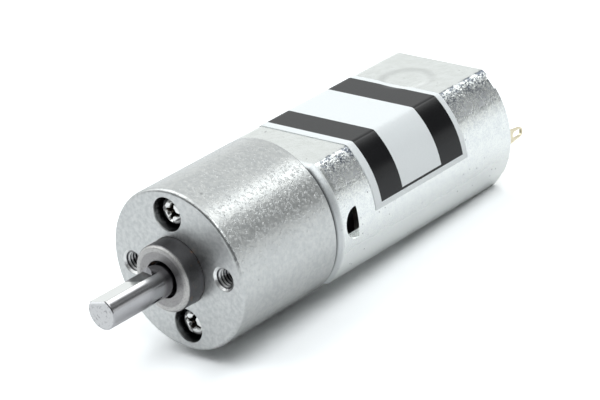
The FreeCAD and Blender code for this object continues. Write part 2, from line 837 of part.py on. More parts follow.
def terminals():
    """Flat brass blades that run out through the cap and end in a soldering eye."""
    low = terminal_height - terminal_width / 2
    high = terminal_height + terminal_width / 2
    centre = can_rear + terminal_reach - terminal_tip_radius
    taper = can_rear + terminal_tip_radius
    x = terminal_offset
    tip_low = terminal_height - terminal_tip_radius
    tip_high = terminal_height + terminal_tip_radius
    edges = [
        Part.makeLine(Vector(x, brush_front, low), Vector(x, taper, low)),
        Part.makeLine(Vector(x, taper, low), Vector(x, centre, tip_low)),
        Part.Arc(
            Vector(x, centre, tip_low),
            Vector(x, centre + terminal_tip_radius, terminal_height),
            Vector(x, centre, tip_high),
        ).toShape(),
        Part.makeLine(Vector(x, centre, tip_high), Vector(x, taper, high)),
        Part.makeLine(Vector(x, taper, high), Vector(x, brush_front, high)),
        Part.makeLine(Vector(x, brush_front, high), Vector(x, brush_front, low)),
    ]
    blade = Part.Face(Part.Wire(edges)).extrude(Vector(terminal_thickness, 0, 0))
    for y in (centre - terminal_eye_length, centre):
        eye = Part.makeCylinder(
            terminal_eye_radius, terminal_thickness, Vector(x, y, terminal_height),
            Vector(1, 0, 0))
        blade = blade.cut(eye)
    slot = block(
        x, x + terminal_thickness, centre - terminal_eye_length, centre,
        terminal_height - terminal_eye_radius, terminal_height + terminal_eye_radius)
    return both_sides(blade.cut(slot))


SUB_PARTS = {
    "gearbox_housing": gearbox_housing,
    "output_bush": output_bush,
    "gear_plate": gear_plate,
    "gear_pins": gear_pins,
    "pin_spacers": pin_spacers,
    "housing_screws": housing_screws,
    "motor_screws": motor_screws,
    "output_shaft": output_shaft,
    "output_gear": output_gear,
    "output_washer": output_washer,
    "spindle_washers": spindle_washers,
    "first_wheel": lambda: wheel(first_wheel_front, first_wheel_rear, hub_radius, 1, 180),
    "first_pinion": lambda: pinion(
        first_front, first_wheel_front, first_wheel_rear, pin_radius + running_fit, 1, 180),
    "second_wheel": lambda: wheel(second_wheel_front, second_wheel_rear, hub_radius, 0, 0),
    "second_pinion": lambda: pinion(
        second_front, second_wheel_front, second_wheel_rear, spindle_radius + running_fit, 0, 180),
    "third_wheel": lambda: wheel(third_wheel_front, third_wheel_rear, hub_radius, -1, 0),
    "third_pinion": lambda: pinion(
        third_front, third_wheel_front, third_wheel_rear, pin_radius + running_fit, -1, 0),
    "motor_can": motor_can,
    "label": label,
    "front_bearing": front_bearing,
    "rear_bearing": rear_bearing,
    "magnets": magnets,
    "magnet_clip": magnet_clip,
    "motor_shaft": motor_shaft,
    "motor_pinion": motor_pinion,
    "rotor_core": rotor_core,
    "rotor_insulators": rotor_insulators,
    "rotor_windings": rotor_windings,
    "commutator_hub": commutator_hub,
    "commutator_segments": commutator_segments,
    "rotor_washers": rotor_washers,
    "end_cap": end_cap,
    "brushes": brushes,
    "brush_arms": brush_arms,
    "terminals": terminals,
}

os.makedirs("parts", exist_ok=True)
for name, make in SUB_PARTS.items():
    shape = make()
    shape.exportStep("parts/" + name + ".step")
    print(name, len(shape.Solids), "solid(s)", round(shape.Volume, 2), "mm3", shape.isValid())
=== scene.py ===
# %% [markdown]
# # A small gearmotor
# A round gearbox with a D-shaft is screwed to a motor in a drawn steel can with two
# flat sides. The construction comes packed, as a frame of named nodes in metres. This
# lesson dresses it: the outer pieces are modelled again with soft edges, threads and
# a printed label, and every piece gets a finish of its own.

# %% Load the frame
import json
from math import asin, atan2, copysign, cos, pi, radians, sin, tau

import bmesh
import bpy
from bmesh.types import BMEdge, BMVert
from mathutils import Matrix, Vector


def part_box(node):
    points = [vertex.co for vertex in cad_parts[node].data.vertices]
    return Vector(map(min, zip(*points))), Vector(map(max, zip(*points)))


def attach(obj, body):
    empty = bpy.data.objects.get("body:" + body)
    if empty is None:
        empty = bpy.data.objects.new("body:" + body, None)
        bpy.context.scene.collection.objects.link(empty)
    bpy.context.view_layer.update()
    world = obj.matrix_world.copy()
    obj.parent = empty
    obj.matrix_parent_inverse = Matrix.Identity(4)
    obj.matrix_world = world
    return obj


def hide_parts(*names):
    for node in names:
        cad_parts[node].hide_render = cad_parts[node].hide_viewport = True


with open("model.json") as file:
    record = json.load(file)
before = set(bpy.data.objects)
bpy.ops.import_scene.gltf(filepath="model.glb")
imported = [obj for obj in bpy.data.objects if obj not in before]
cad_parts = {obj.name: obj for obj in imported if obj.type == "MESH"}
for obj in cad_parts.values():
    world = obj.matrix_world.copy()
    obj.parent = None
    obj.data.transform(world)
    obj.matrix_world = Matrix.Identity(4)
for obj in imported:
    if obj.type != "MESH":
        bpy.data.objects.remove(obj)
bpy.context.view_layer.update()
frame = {"nodes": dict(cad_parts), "record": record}

# %% [markdown]
# ## Sizes
# Lengths are in millimetres, and MM turns them into metres, which Blender takes.
# Places along the motor are read from the frame's boxes, so that a new piece lies
# where its node lies. The front face is at 0: the shaft's tip lies below it, and the
# can's rear end has the highest value.

# %% Sizes and places
MM = 0.001
FRONT, REAR = Vector((0, -1, 0)), Vector((0, 1, 0))
ROUND = 144  # edges round a large circle
SMALL = 48  # and round a screw hole
WELD = 0.0005  # corners that lie closer than this become one

_, case_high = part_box("gearbox_housing")
_, can_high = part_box("motor_can")
bush_low, bush_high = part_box("output_bush")
shaft_low, shaft_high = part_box("output_shaft")
CASE_RADIUS, CASE_REAR = case_high.x / MM, case_high.y / MM
CAN_REAR = can_high.y / MM
BUSH_FRONT, BUSH_REAR = bush_low.y / MM, bush_high.y / MM
SHAFT_TIP, SHAFT_REAR = shaft_low.y / MM, shaft_high.y / MM
print("case radius and length, mm:", round(CASE_RADIUS, 2), round(CASE_REAR, 2))

# %% Holes of the front face
CASE_TURN = radians(3.8)  # the case is screwed on a little turned
SCREW_CIRCLE = 6.92  # distance of the case's screws from the axis
TAP_CIRCLE = 7.2  # and of the tapped holes
BORE = 2.1  # radius of the bore over a screw's head
TAP = 1.25  # radius of a tapped hole
TAP_MOUTH = 1.5  # and of its countersunk mouth


def on_circle(radius, degrees):
    angle = radians(degrees) + CASE_TURN
    return radius * cos(angle), radius * sin(angle)


screw_places = [on_circle(SCREW_CIRCLE, turn) for turn in (90, 270)]
tap_places = [on_circle(TAP_CIRCLE, turn) for turn in (0, 180)]
print("screws at, mm:", [(round(x, 2), round(z, 2)) for x, z in screw_places])

# %% [markdown]
# ## Writing shader maths
# A material is a net of nodes, and a sum such as 1 - mask is one Math node. Wiring
# each by hand hides the idea, so a small class wraps an output socket and turns
# Python's operators into Math nodes. Every other node comes from one method, which
# takes the node's type, its settings and what goes into its sockets.


# %% A socket that can be calculated with
class Wire:
    """An output socket of a node. Arithmetic on it adds Math nodes to the same tree."""

    def __init__(self, tree, socket=None):
        self.tree = tree
        self.socket = socket

    def node(self, kind, settings=None, inputs=None, output=0):
        """Add a node: settings first, then the values or links of its sockets."""
        made = self.tree.nodes.new("ShaderNode" + kind)
        for name, value in (settings or {}).items():
            setattr(made, name, value)
        for name, value in (inputs or {}).items():
            if isinstance(value, Wire):
                self.tree.links.new(value.socket, made.inputs[name])
            else:
                made.inputs[name].default_value = value
        return Wire(self.tree, made.outputs[output] if made.outputs else None)

    def math(self, operation, *values):
        inputs = dict(enumerate(values))
        return self.node("Math", {"operation": operation}, inputs)

    def __add__(self, other):
        return self.math("ADD", self, other)

    def __sub__(self, other):
        return self.math("SUBTRACT", self, other)

    def __mul__(self, other):
        return self.math("MULTIPLY", self, other)

    def __radd__(self, other):
        return self.math("ADD", other, self)

    def __rsub__(self, other):
        return self.math("SUBTRACT", other, self)

    def __rmul__(self, other):
        return self.math("MULTIPLY", other, self)

    def highest(self, other):
        return self.math("MAXIMUM", self, other)

    def lowest(self, other):
        return self.math("MINIMUM", self, other)

    def step(self, start, end):
        """0 before start, 1 after end, and a smooth rise between them."""
        settings = {"interpolation_type": "SMOOTHSTEP"}
        return self.node("MapRange", settings, {"Value": self, "From Min": start, "From Max": end})

    def between(self, start, end, soft):
        """1 from start to end, with edges as soft as this width."""
        return self.step(start, start + soft) * (1.0 - self.step(end, end + soft))

    def blend(self, first, second):
        """The first colour where this is 0 and the second where it is 1."""
        ends = [end if isinstance(end, Wire) else (*end, 1.0) for end in (first, second)]
        return self.node("Mix", {"data_type": "RGBA"}, {0: self, 6: ends[0], 7: ends[1]}, 2)


print("shader maths: operators on", Wire.__name__)

# %% [markdown]
# ## One finish, one function
# Metal, paint, paper and moulded plastic are all a Principled shader with other
# numbers. What stays the same over a surface is set on the shader's own sockets. What
# changes, such as grain or dirt, is worked out from the piece's own coordinates.


# %% Building a finish
class Finish:
    """A material under construction, with the usual patterns at sizes in millimetres."""

    def __init__(self, name, **constants):
        self.material = bpy.data.materials.new(name)
        self.material.use_nodes = True
        tree = self.material.node_tree
        self.shader = tree.nodes["Principled BSDF"]
        for socket, value in constants.items():
            self.shader.inputs[socket.replace("_", " ")].default_value = value
        self.net = Wire(tree)
        self.place = self.net.node("TexCoord", output=3)

    def part(self, axis):
        """The X, Y or Z coordinate of the surface point, in millimetres."""
        return self.net.node("SeparateXYZ", inputs={0: self.place}, output=axis) * (1.0 / MM)

    def scaled(self, size, stretch=(1, 1, 1)):
        """Coordinates for a pattern whose patches are this many millimetres wide."""
        scale = tuple(1.0 / (size * MM * s) for s in stretch)
        return self.net.node("Mapping", inputs={"Vector": self.place, "Scale": scale})

    def noise(self, size, detail=2.0, roughness=0.5, stretch=(1, 1, 1)):
        """Cloudy noise from 0 to 1."""
        inputs = {"Vector": self.scaled(size, stretch), "Scale": 1.0,
                  "Detail": detail, "Roughness": roughness}
        return self.net.node("TexNoise", inputs=inputs)

    def cells(self, size):
        """Distance to the nearest of scattered points, for pits and specks."""
        return self.net.node("TexVoronoi", inputs={"Vector": self.scaled(size), "Scale": 1.0})

    def off_axis(self, x=0.0, z=0.0):
        """Distance in millimetres from a line along Y."""
        flat = self.net.node("VectorMath", {"operation": "MULTIPLY"}, {0: self.place, 1: (1, 0, 1)})
        axis = (x * MM, 0, z * MM)
        away = self.net.node("VectorMath", {"operation": "DISTANCE"}, {0: flat, 1: axis}, 1)
        return away * (1.0 / MM)

    def use(self, socket, wire):
        self.net.tree.links.new(wire.socket, self.shader.inputs[socket])

    def relief(self, height, depth=1.0):
        """Bump from a height, where 1 is depth millimetres; the finish is complete then."""
        inputs = {"Height": height, "Distance": depth * MM}
        self.use("Normal", self.net.node("Bump", inputs=inputs))
        return self.material


print("finish helper ready")

# %% [markdown]
# ## The cast case
# The gearbox case is a zinc casting that was tumbled after the flash was cut off. Its
# skin is silvery and matt, with a fine orange-peel grain that breaks the highlight
# into sparkles. A painted grain would stay when the light moves, so the grain here is
# relief: three noises of different size, the finest about a third of a millimetre.
# Holes are painted darker towards their bottom and the seam where the case meets the can
# is painted dark, both as painted shade. The countersunk mouths are painted near-white:
# pale cut metal with a painted highlight.


# %% Cast zinc
def nearest(finish, places):
    """Distance in millimetres from the nearer one of two lines along Y."""
    return finish.off_axis(*places[0]).lowest(finish.off_axis(*places[1]))


def cast_zinc():
    finish = Finish("cast_zinc", Metallic=1.0)
    y = finish.part("Y")
    cloud = finish.noise(3.4, 3.0)
    mottle = finish.noise(0.55, 3.0, 0.6)
    beads = finish.noise(0.35, 2.0, 0.6).step(0.50, 0.74)
    pits = 1.0 - finish.cells(3.4).step(0.03, 0.08)
    face = 1.0 - y.step(0.0, 0.3)
    # Painted shade: the bores over the screws are darkened on their walls and floor, more so deeper
    # down.
    over_screw = 1.0 - nearest(finish, screw_places).step(BORE + 0.03, BORE + 0.07)
    painted_bore_shade = over_screw * y.step(0.04, 0.25) * (0.60 + y.step(0.2, 1.2) * 0.24)
    tap = nearest(finish, tap_places)
    mouth = 1.0 - tap.step(TAP_MOUTH, TAP_MOUTH + 0.04)
    # Painted shade: the tapped holes are darkened inside, most at the thread roots and deeper down.
    thread_deep = tap.step(TAP - 0.15, TAP - 0.03) * 0.66 + y.step(0.5, 1.6) * 0.40
    painted_thread_shade = mouth * y.step(0.22, 0.28) * (0.24 + thread_deep)
    # Painted shade: the rear edge of the case is darkened where it meets the can.
    painted_seam_shade = y.step(CASE_REAR - 0.2, CASE_REAR - 0.05)

    tone = (cloud * 0.2 + mottle * 0.8).step(0.36, 0.64)
    skin = tone.blend((0.575, 0.59, 0.59), (0.66, 0.67, 0.66))
    turned = tone.blend((0.555, 0.57, 0.57), (0.685, 0.695, 0.69))
    colour = face.blend(skin, turned)
    # The countersunk mouths are painted near-white: pale cut metal with a painted highlight.
    colour = (mouth * y.step(0.005, 0.03)).blend(colour, (0.90, 0.905, 0.90))
    # Pits are real; the darkening of the bores, the tapped holes and the seam is painted shade.
    dark = painted_bore_shade.highest(pits * 0.35).highest(painted_thread_shade).highest(painted_seam_shade * 0.55)
    finish.use("Base Color", dark.blend(colour, (0.05, 0.05, 0.06)))
    finish.use("Roughness", 0.25 + mottle * 0.10 + face * 0.06)
    grain = beads * (0.024 - face * 0.020)
    return finish.relief(grain + mottle * 0.018 + cloud * 0.03 - pits * 0.01)


ZINC = cast_zinc()
print("finish:", ZINC.name)

# %% [markdown]
# ## The motor can
# The can is drawn from plated sheet. The die burnishes the round sides and the flats,
# but next to each upper corner it lets go of the sheet, and there the plating keeps
# the stretched grain of the steel. Both are one finish: a mask for that strip makes
# the grain deeper, and paints the strip dark, darkest towards the corner, as a painted
# reflection. A grain is a third of a millimetre wide. Painted light is also added: the
# round sides are paler towards the bottom, a painted reflection of the floor; the front
# rounding next to the case is greyer and the seam beside it dark, both painted shade;
# and a faint dark ring round the press mark is painted shade on its sloping edge.

# %% Masks on the can
CAN_FLAT = 7.7  # height of the flats above and below the axis
STRIP_START = 17.8  # front end of the stretched grain, along the motor
STRIP_LOW = 4.4  # height above the axis where it ends
STRIP_SIDE = 6.5  # and how far from the middle it begins
PRESS_MARK = 42.4  # middle of the round press mark, along the motor


def grain_strip_painted_dark(finish, x, y, z):
    """1 on the strips beside the upper corners, with ragged edges; there the grain is deeper and a
    dark reflection is painted.
    """
    ragged = finish.noise(0.5, 2.0) - 0.5
    above = (z + ragged * 0.3).step(STRIP_LOW, STRIP_LOW + 0.2)
    outside = (x.math("ABSOLUTE", x) + ragged * 0.4).step(STRIP_SIDE, STRIP_SIDE + 0.25)
    return above * outside * (y + ragged * 0.5).step(STRIP_START, STRIP_START + 0.3)


def press_mark_shade(finish, x, y):
    """1 on the ring round the press mark's sloping edge, which is darkened as painted shade."""
    beside = y - PRESS_MARK
    away = finish.net.math("SQRT", x * x + beside * beside)
    return away.step(2.2, 3.0) * (1.0 - away.step(3.1, 4.0))


print("press mark at, mm:", PRESS_MARK)


# %% Plated sheet
def plated_sheet():
    finish = Finish("plated_sheet", Metallic=1.0)
    x, y, z = (finish.part(axis) for axis in "XYZ")
    grain = finish.noise(0.30, 1.0, 0.6)
    fine = finish.noise(0.22, 2.0, 0.6)
    coarse = finish.noise(0.9, 3.0, 0.6)
    cloud = finish.noise(3.0, 3.0)
    round_side = 1.0 - z.step(CAN_FLAT - 0.4, CAN_FLAT - 0.1)
    low = 1.0 - z.step(-6.5, 4.0)
    specks = 1.0 - finish.cells(1.1).step(0.05, 0.13)
    dirt = specks * finish.noise(4.0, 2.0).step(0.40, 0.55)
    # Painted shade: a dark line on the can's rounding right beside the case.
    painted_seam_shade = 1.0 - y.step(CASE_REAR + 0.2, CASE_REAR + 0.45)
    bend = 1.0 - y.step(CASE_REAR + 0.75, CASE_REAR + 1.35)
    strip = grain_strip_painted_dark(finish, x, y, z)
    # Painted shade: the ring round the press mark darkens the flat on the mark's sloping edge.
    mark = press_mark_shade(finish, x, y) * (1.0 - round_side)

    dull = round_side.blend((0.88, 0.905, 0.88), (0.78, 0.81, 0.82))
    # Painted light: the can is painted paler towards the bottom, a painted reflection of the bright
    # floor.
    dull = low.blend(dull, (0.93, 0.945, 0.945))
    # Painted reflection: the strip's colour darkens towards the corner; its deeper grain and
    # roughness are relief and finish.
    strip_painted_reflection = z.step(5.4, 6.9).blend((0.80, 0.82, 0.85), (0.16, 0.18, 0.22))
    dull = strip.blend(dull, strip_painted_reflection)
    speckle = (fine * (0.2 + round_side * 0.4) + coarse * (0.8 - round_side * 0.4)).step(0.38, 0.60)
    colour = speckle.blend(dull, (0.93, 0.955, 0.935))
    # Painted shade: the front rounding beside the case is painted greyer; its higher roughness is
    # finish.
    colour = (bend * 0.7).blend(colour, (0.60, 0.62, 0.63))
    # Dirt specks are real; the seam line and the ring round the press mark are painted shade.
    dark = (dirt * 0.55).highest(painted_seam_shade * 0.8).highest(mark * 0.16)
    finish.use("Base Color", dark.blend(colour, (0.12, 0.12, 0.125)))
    rough = 0.18 + cloud * 0.08 + bend * 0.28 + strip * 0.05
    finish.use("Roughness", rough + (1.0 - z.step(-6.0, -1.0)) * 0.14)
    grain = (grain - 0.5) * (0.010 + strip * 0.028) + (coarse - 0.5) * (0.012 + strip * 0.022)
    return finish.relief(grain + cloud * 0.03 - dirt * 0.02)


PLATED = plated_sheet()
print("finish:", PLATED.name)

# %% [markdown]
# ## Turned and sintered metals
# The bush is pressed from iron powder, sized in a die and soaked in oil. Its side is
# nearly black, while its front ring and its edge are rubbed bright. The shaft is
# ground, with hair lines round it, and its flat is a shade greyer than the strip of
# round side beside it, which is a painted highlight. The shaft and the rear of its flat
# are painted darker towards the bush, as a painted reflection of the bush, and the right
# side of the flat's run-out is painted shade. The screws are nickel plated; their cross
# recesses and the rims of their heads are painted dark, as painted shade.


# %% Metal of the bush
def sintered_iron():
    finish = Finish("oiled_iron", Metallic=1.0)
    y = finish.part("Y")
    blotch = finish.noise(0.7, 3.0, 0.6)
    pores = 1.0 - finish.cells(0.16).step(0.1, 0.45)
    rubbed = 1.0 - (y + blotch * 0.14).step(-2.42, -2.28)
    rust = finish.noise(1.1, 2.0).step(0.62, 0.7) * (1.0 - rubbed)
    edge = finish.off_axis().step(3.3, 3.5)
    side = rust.blend((0.125, 0.123, 0.128), (0.24, 0.16, 0.12))
    front = blotch.blend((0.31, 0.30, 0.30), (0.45, 0.44, 0.44))
    front = edge.blend(front, (0.56, 0.55, 0.54))
    colour = rubbed.blend(side, front)
    finish.use("Base Color", (pores * 0.5).blend(colour, (0.04, 0.035, 0.03)))
    finish.use("Roughness", 0.34 + blotch * 0.16)
    return finish.relief(blotch * 0.4 - pores * 0.7, 0.010)


IRON = sintered_iron()
print("finish:", IRON.name)

# %% Metal of the shaft
FLAT = 1.5  # height of the shaft's flat above the axis
FLAT_TURN = radians(13.0)  # it stands turned from +Z towards -X


def ground_steel():
    finish = Finish("ground_steel", Metallic=1.0)
    x, y, z = (finish.part(axis) for axis in "XYZ")
    lines = finish.noise(0.05, 2.0, 0.6, (60, 1, 60))
    smear = finish.noise(1.6, 3.0)
    height = z * cos(FLAT_TURN) - x * sin(FLAT_TURN)
    across = x * cos(FLAT_TURN) + z * sin(FLAT_TURN)
    higher = height.step(FLAT + 0.01, FLAT + 0.04)
    flat = height.step(FLAT - 0.04, FLAT - 0.01) * (1.0 - higher) * (1.0 - y.step(-3.8, -3.7))
    edge = height.step(FLAT - 0.4, FLAT - 0.05) * (1.0 - y.step(-7.0, -5.0))
    # Painted shade: the right side of the flat's run-out, and of the round shaft behind it, is
    # darkened.
    painted_ramp_shade = higher * across.step(-0.7, -0.3)
    # Painted reflection: the shaft darkens towards the bush, and the rear of the flat too, as the
    # dark bush mirrored in them.
    painted_bush_reflection = y.step(-5.6, -2.8) * (1.0 - flat) * 0.8 + y.step(-6.95, -6.75) * flat * 1.1
    at_tip = 1.0 - y.step(SHAFT_TIP + 0.05, SHAFT_TIP + 0.15)
    worn = at_tip * finish.noise(0.35, 2.0).step(0.58, 0.66)
    end_face = 1.0 - y.step(SHAFT_TIP - 0.01, SHAFT_TIP + 0.02)

    shade = lines * 0.5 + smear * 0.5
    side = shade.blend((0.38, 0.375, 0.39), (0.55, 0.545, 0.56))
    side = end_face.blend(side, (0.66, 0.66, 0.665))
    # Painted highlight: the round side beside the flat is painted near-white.
    colour = edge.blend(side, (0.97, 0.965, 0.97))
    colour = flat.blend(colour, (0.70, 0.71, 0.695))
    # Worn specks at the tip are real; the rest of this darkening is painted reflection and painted
    # shade.
    dark = (painted_bush_reflection * 0.85).highest(worn * 0.5).highest(painted_ramp_shade * 0.7)
    finish.use("Base Color", dark.blend(colour, (0.10, 0.098, 0.11)))
    finish.use("Roughness", 0.13 + lines * 0.10 - flat * 0.08)
    return finish.relief(lines * 0.0012 + smear * 0.003)


STEEL = ground_steel()
print("finish:", STEEL.name)

# %% Metal of the screws
HEAD_SINK = 0.75  # top of a screw head below the front face


def nickel():
    finish = Finish("nickel", Metallic=1.0)
    dull = finish.noise(0.5, 3.0)
    y = finish.part("Y")
    near = nearest(finish, screw_places)
    painted_recess_shade = y.step(HEAD_SINK + 0.26, HEAD_SINK + 0.42) * (1.0 - near.step(1.28, 1.34))
    painted_rim_shade = near.step(1.62, 1.74)
    colour = dull.blend((0.80, 0.80, 0.79), (0.93, 0.93, 0.92))
    # Painted shade: the cross recess is painted dark brown.
    colour = painted_recess_shade.blend(colour, dull.blend((0.05, 0.04, 0.033), (0.20, 0.165, 0.135)))
    # Painted shade: the rim of each head, down in its bore, is painted nearly black.
    finish.use("Base Color", (painted_rim_shade * 0.85).blend(colour, (0.08, 0.08, 0.09)))
    finish.use("Roughness", 0.12 + dull * 0.1)
    return finish.relief(dull, 0.008)


NICKEL = nickel()
print("finish:", NICKEL.name)

# %% [markdown]
# ## The label
# The label is glossy white paper, printed with two black bands across the can and a
# thin black line along its lower edges. A white border is left all round. The bands
# are worked out from the distance along the can and the height above the axis, and
# the gloss is a clear layer with no metal in it, so black turns grey on the bright
# flat and stays black at the corner.

# %% Printed paper
BANDS = ((24.3, 28.2), (35.5, 39.6))  # along the motor
PRINT_LOW = 0.75  # height above the axis where the print ends
PRINT_LINE = 0.3  # width of the thin line there
PRINT_BLUR = 0.05  # softness of a printed edge


def printed_paper():
    finish = Finish("printed_paper", Specular_IOR_Level=0.42)
    fuzz = finish.noise(0.12, 1.0) * 0.03
    across = finish.part("Y") + fuzz
    height = finish.part("Z") + fuzz
    (start, first_end), (last_start, end) = BANDS
    first = across.between(start, first_end, PRINT_BLUR)
    last = across.between(last_start, end, PRINT_BLUR)
    inside = across.between(start, end, PRINT_BLUR)
    above = height.step(PRINT_LOW, PRINT_LOW + PRINT_BLUR)
    line_top = PRINT_LOW + PRINT_LINE
    line = inside * above * (1.0 - height.step(line_top, line_top + PRINT_BLUR))
    ink = ((first + last) * above).highest(line)
    fibre = finish.noise(0.25, 3.0, 0.6)
    soft = finish.noise(4.0, 2.0)
    paper = fibre.blend((0.845, 0.87, 0.87), (0.90, 0.92, 0.92))
    black = fibre.blend((0.002, 0.002, 0.003), (0.006, 0.006, 0.007))
    finish.use("Base Color", ink.blend(paper, black))
    finish.use("Roughness", 0.16 + soft * 0.1)
    return finish.relief(fibre * 0.25 + soft * 0.6, 0.010)


PAPER = printed_paper()
print("finish:", PAPER.name)

# %% [markdown]
# ## Plain finishes for the rest
# The inner pieces and the end cap need fewer ideas: a colour that varies a little, a
# roughness, and a relief at the scale of the real surface. One function makes them
# from a short table, so that no two differ only by accident.


# %% A table of finishes
def plain_finish(name, dark, light, metal, rough, size, depth, stretch=(1, 1, 1), extra=None):
    """size is the width of a patch and depth its relief, both in millimetres."""
    finish = Finish(name, Metallic=metal, **(extra or {}))
    patch = finish.noise(size, 3.0, 0.55, stretch)
    fine = finish.noise(size / 6, 2.0, 0.5, stretch)
    finish.use("Base Color", patch.blend(dark, light))
    finish.use("Roughness", rough + fine * 0.12)
    return finish.relief(patch * 0.6 + fine * 0.4, depth)


# Slot, then name, dark and light colour, metallic, roughness, size, depth, stretch, extra
PLAIN = {
    "plate_steel": ("zinc_plate", (0.46, 0.47, 0.47), (0.62, 0.62, 0.60), 1.0, 0.3, 1.0, 0.008),
    "gear_steel": (
        "oiled_gear_steel", (0.22, 0.215, 0.21), (0.40, 0.39, 0.38), 1.0, 0.22, 0.6, 0.004,
        (1, 1, 1), {"Coat_Weight": 0.4}),
    "brass": (
        "hobbed_brass", (0.66, 0.47, 0.18), (0.84, 0.66, 0.30), 1.0, 0.22, 0.5, 0.004, (6, 1, 6)),
    "sintered_bronze": (
        "bearing_bronze", (0.30, 0.19, 0.09), (0.52, 0.36, 0.19), 1.0, 0.38, 0.2, 0.010),
    "ferrite": (
        "magnet_ferrite", (0.035, 0.035, 0.038), (0.075, 0.075, 0.08), 0.0, 0.55, 0.5, 0.012),
    "spring_steel": (
        "spring_wire", (0.34, 0.34, 0.35), (0.52, 0.52, 0.53), 1.0, 0.24, 0.4, 0.003, (1, 8, 1)),
    "lamination_steel": (
        "stacked_laminations", (0.16, 0.17, 0.19), (0.36, 0.37, 0.39), 1.0, 0.36, 0.35, 0.03,
        (30, 1, 30)),
    "insulator_fibre": (
        "moulded_insulator", (0.10, 0.17, 0.30), (0.15, 0.24, 0.38), 0.0, 0.45, 0.8, 0.010),
    "enamelled_copper": (
        "enamelled_wire", (0.36, 0.11, 0.035), (0.66, 0.27, 0.10), 1.0, 0.18, 0.3, 0.03,
        (1, 12, 1), {"Coat_Weight": 0.8}),
    "phenolic": ("brown_phenolic", (0.06, 0.03, 0.02), (0.11, 0.06, 0.04), 0.0, 0.4, 0.4, 0.008),
    "copper": (
        "turned_copper", (0.50, 0.22, 0.12), (0.72, 0.38, 0.24), 1.0, 0.24, 0.2, 0.004, (8, 1, 8)),
    "cap_nylon": (
        "natural_nylon", (0.66, 0.63, 0.54), (0.76, 0.73, 0.65), 0.0, 0.38, 1.4, 0.012,
        (1, 1, 1), {"Subsurface_Weight": 0.05}),
    "carbon": (
        "pressed_carbon", (0.012, 0.012, 0.012), (0.05, 0.045, 0.045), 0.0, 0.5, 0.3, 0.010),
    "spring_bronze": (
        "brush_spring_bronze", (0.48, 0.27, 0.12), (0.66, 0.42, 0.22), 1.0, 0.24, 0.8, 0.003,
        (1, 8, 1)),
    "terminal_brass": (
        "tinned_brass", (0.74, 0.65, 0.44), (0.90, 0.84, 0.68), 1.0, 0.24, 0.7, 0.005),
}
FINISHES = {slot: plain_finish(*row) for slot, row in PLAIN.items()}
FINISHES |= {
    "cast_case": ZINC, "sintered_iron": IRON, "bright_steel": STEEL,
    "nickel_screw": NICKEL, "plated_can": PLATED, "label_paper": PAPER}
print("finishes by slot:", len(FINISHES))

# %% [markdown]
# ## Dressing the frame's own nodes
# The record says which material slot each node has. A node whose shape is right keeps
# its mesh and only takes the finish of its slot.

# %% Finishes onto the nodes
SLOT_OF = {part["node"]: part["material_slot"] for part in frame["record"]["subparts"]}
for name, node in frame["nodes"].items():
    node.data.materials.clear()
    node.data.materials.append(FINISHES[SLOT_OF[name]])
print("dressed nodes:", len(frame["nodes"]))

# %% [markdown]
# ## Making pieces
# Four ideas carry the modelling. A hoop is a loop of edges round a line along Y.
# Drawing a hoop on extrudes it and brings the new hoop to another radius and place,
# so a turned part is a chain of hoops. A cut takes one closed mesh out of another, as
# a milling cutter does. A finished mesh becomes a piece: its normals point outwards,
# its sharp edges stay sharp, and it rides on its body.


# %% Hoops
def only(kind, items):
    return [item for item in items if isinstance(item, kind)]


def whole(bm):
    return bm.verts[:] + bm.edges[:] + bm.faces[:]


def move_to(x, y, z):
    """A matrix that moves by millimetres."""
    return Matrix.Translation(Vector((x, y, z)) * MM)


def hoop(bm, radius, y, x=0.0, z=0.0, count=ROUND):
    """A loop of edges about a line along Y. Sizes in millimetres."""
    place = move_to(x, y, z) @ Matrix.Rotation(pi / 2, 4, "X")
    made = bmesh.ops.create_circle(bm, segments=count, radius=radius * MM, matrix=place)
    return list(dict.fromkeys(edge for vert in made["verts"] for edge in vert.link_edges))


def corners(edges):
    """The vertices of some edges, each once and always in the same order."""
    return list(dict.fromkeys(vert for edge in edges for vert in edge.verts))


def draw_on(bm, edges, steps):
    """Extrude a hoop step by step; each step is its next radius and place along Y."""
    for radius, y in steps:
        edges = only(BMEdge, bmesh.ops.extrude_edge_only(bm, edges=edges)["geom"])
        verts = corners(edges)
        centre = sum((vert.co for vert in verts), Vector()) / len(verts)
        ratio = radius * MM / (verts[0].co - centre).length
        bmesh.ops.scale(
            bm, vec=(ratio, 1, ratio), space=Matrix.Translation(-centre), verts=verts)
        bmesh.ops.translate(bm, vec=(0, y * MM - centre.y, 0), verts=verts)
    return edges


def arc(radius, centre_r, centre_y, start, end, count):
    """Steps along a quarter round in the half plane of a turned part."""
    turns = [radians(start + (end - start) * i / count) for i in range(count + 1)]
    return [(centre_r + radius * cos(t), centre_y + radius * sin(t)) for t in turns]


print("hoops have", ROUND, "or", SMALL, "edges")


# %% Cuts and pieces
def as_object(name, bm):
    """An object in the scene from a finished mesh."""
    mesh = bpy.data.meshes.new(name)
    bm.to_mesh(mesh)
    bm.free()
    made = bpy.data.objects.new(name, mesh)
    bpy.context.scene.collection.objects.link(made)
    return made


def cut(bm, cutter, crossing=False):
    """Take the cutter's volume away; crossing says that the cutter's parts overlap."""
    for source in (bm, cutter):
        bmesh.ops.recalc_face_normals(source, faces=source.faces)
    blank, tool = as_object("blank", bm), as_object("cutter", cutter)
    modifier = blank.modifiers.new("cut", "BOOLEAN")
    modifier.operation = "DIFFERENCE"
    modifier.solver = "EXACT"
    modifier.use_self = crossing
    modifier.object = tool
    seen = blank.evaluated_get(bpy.context.evaluated_depsgraph_get())
    result = bmesh.new()
    result.from_mesh(seen.to_mesh())
    seen.to_mesh_clear()
    for item in (blank, tool):
        bpy.data.objects.remove(item)
    return result


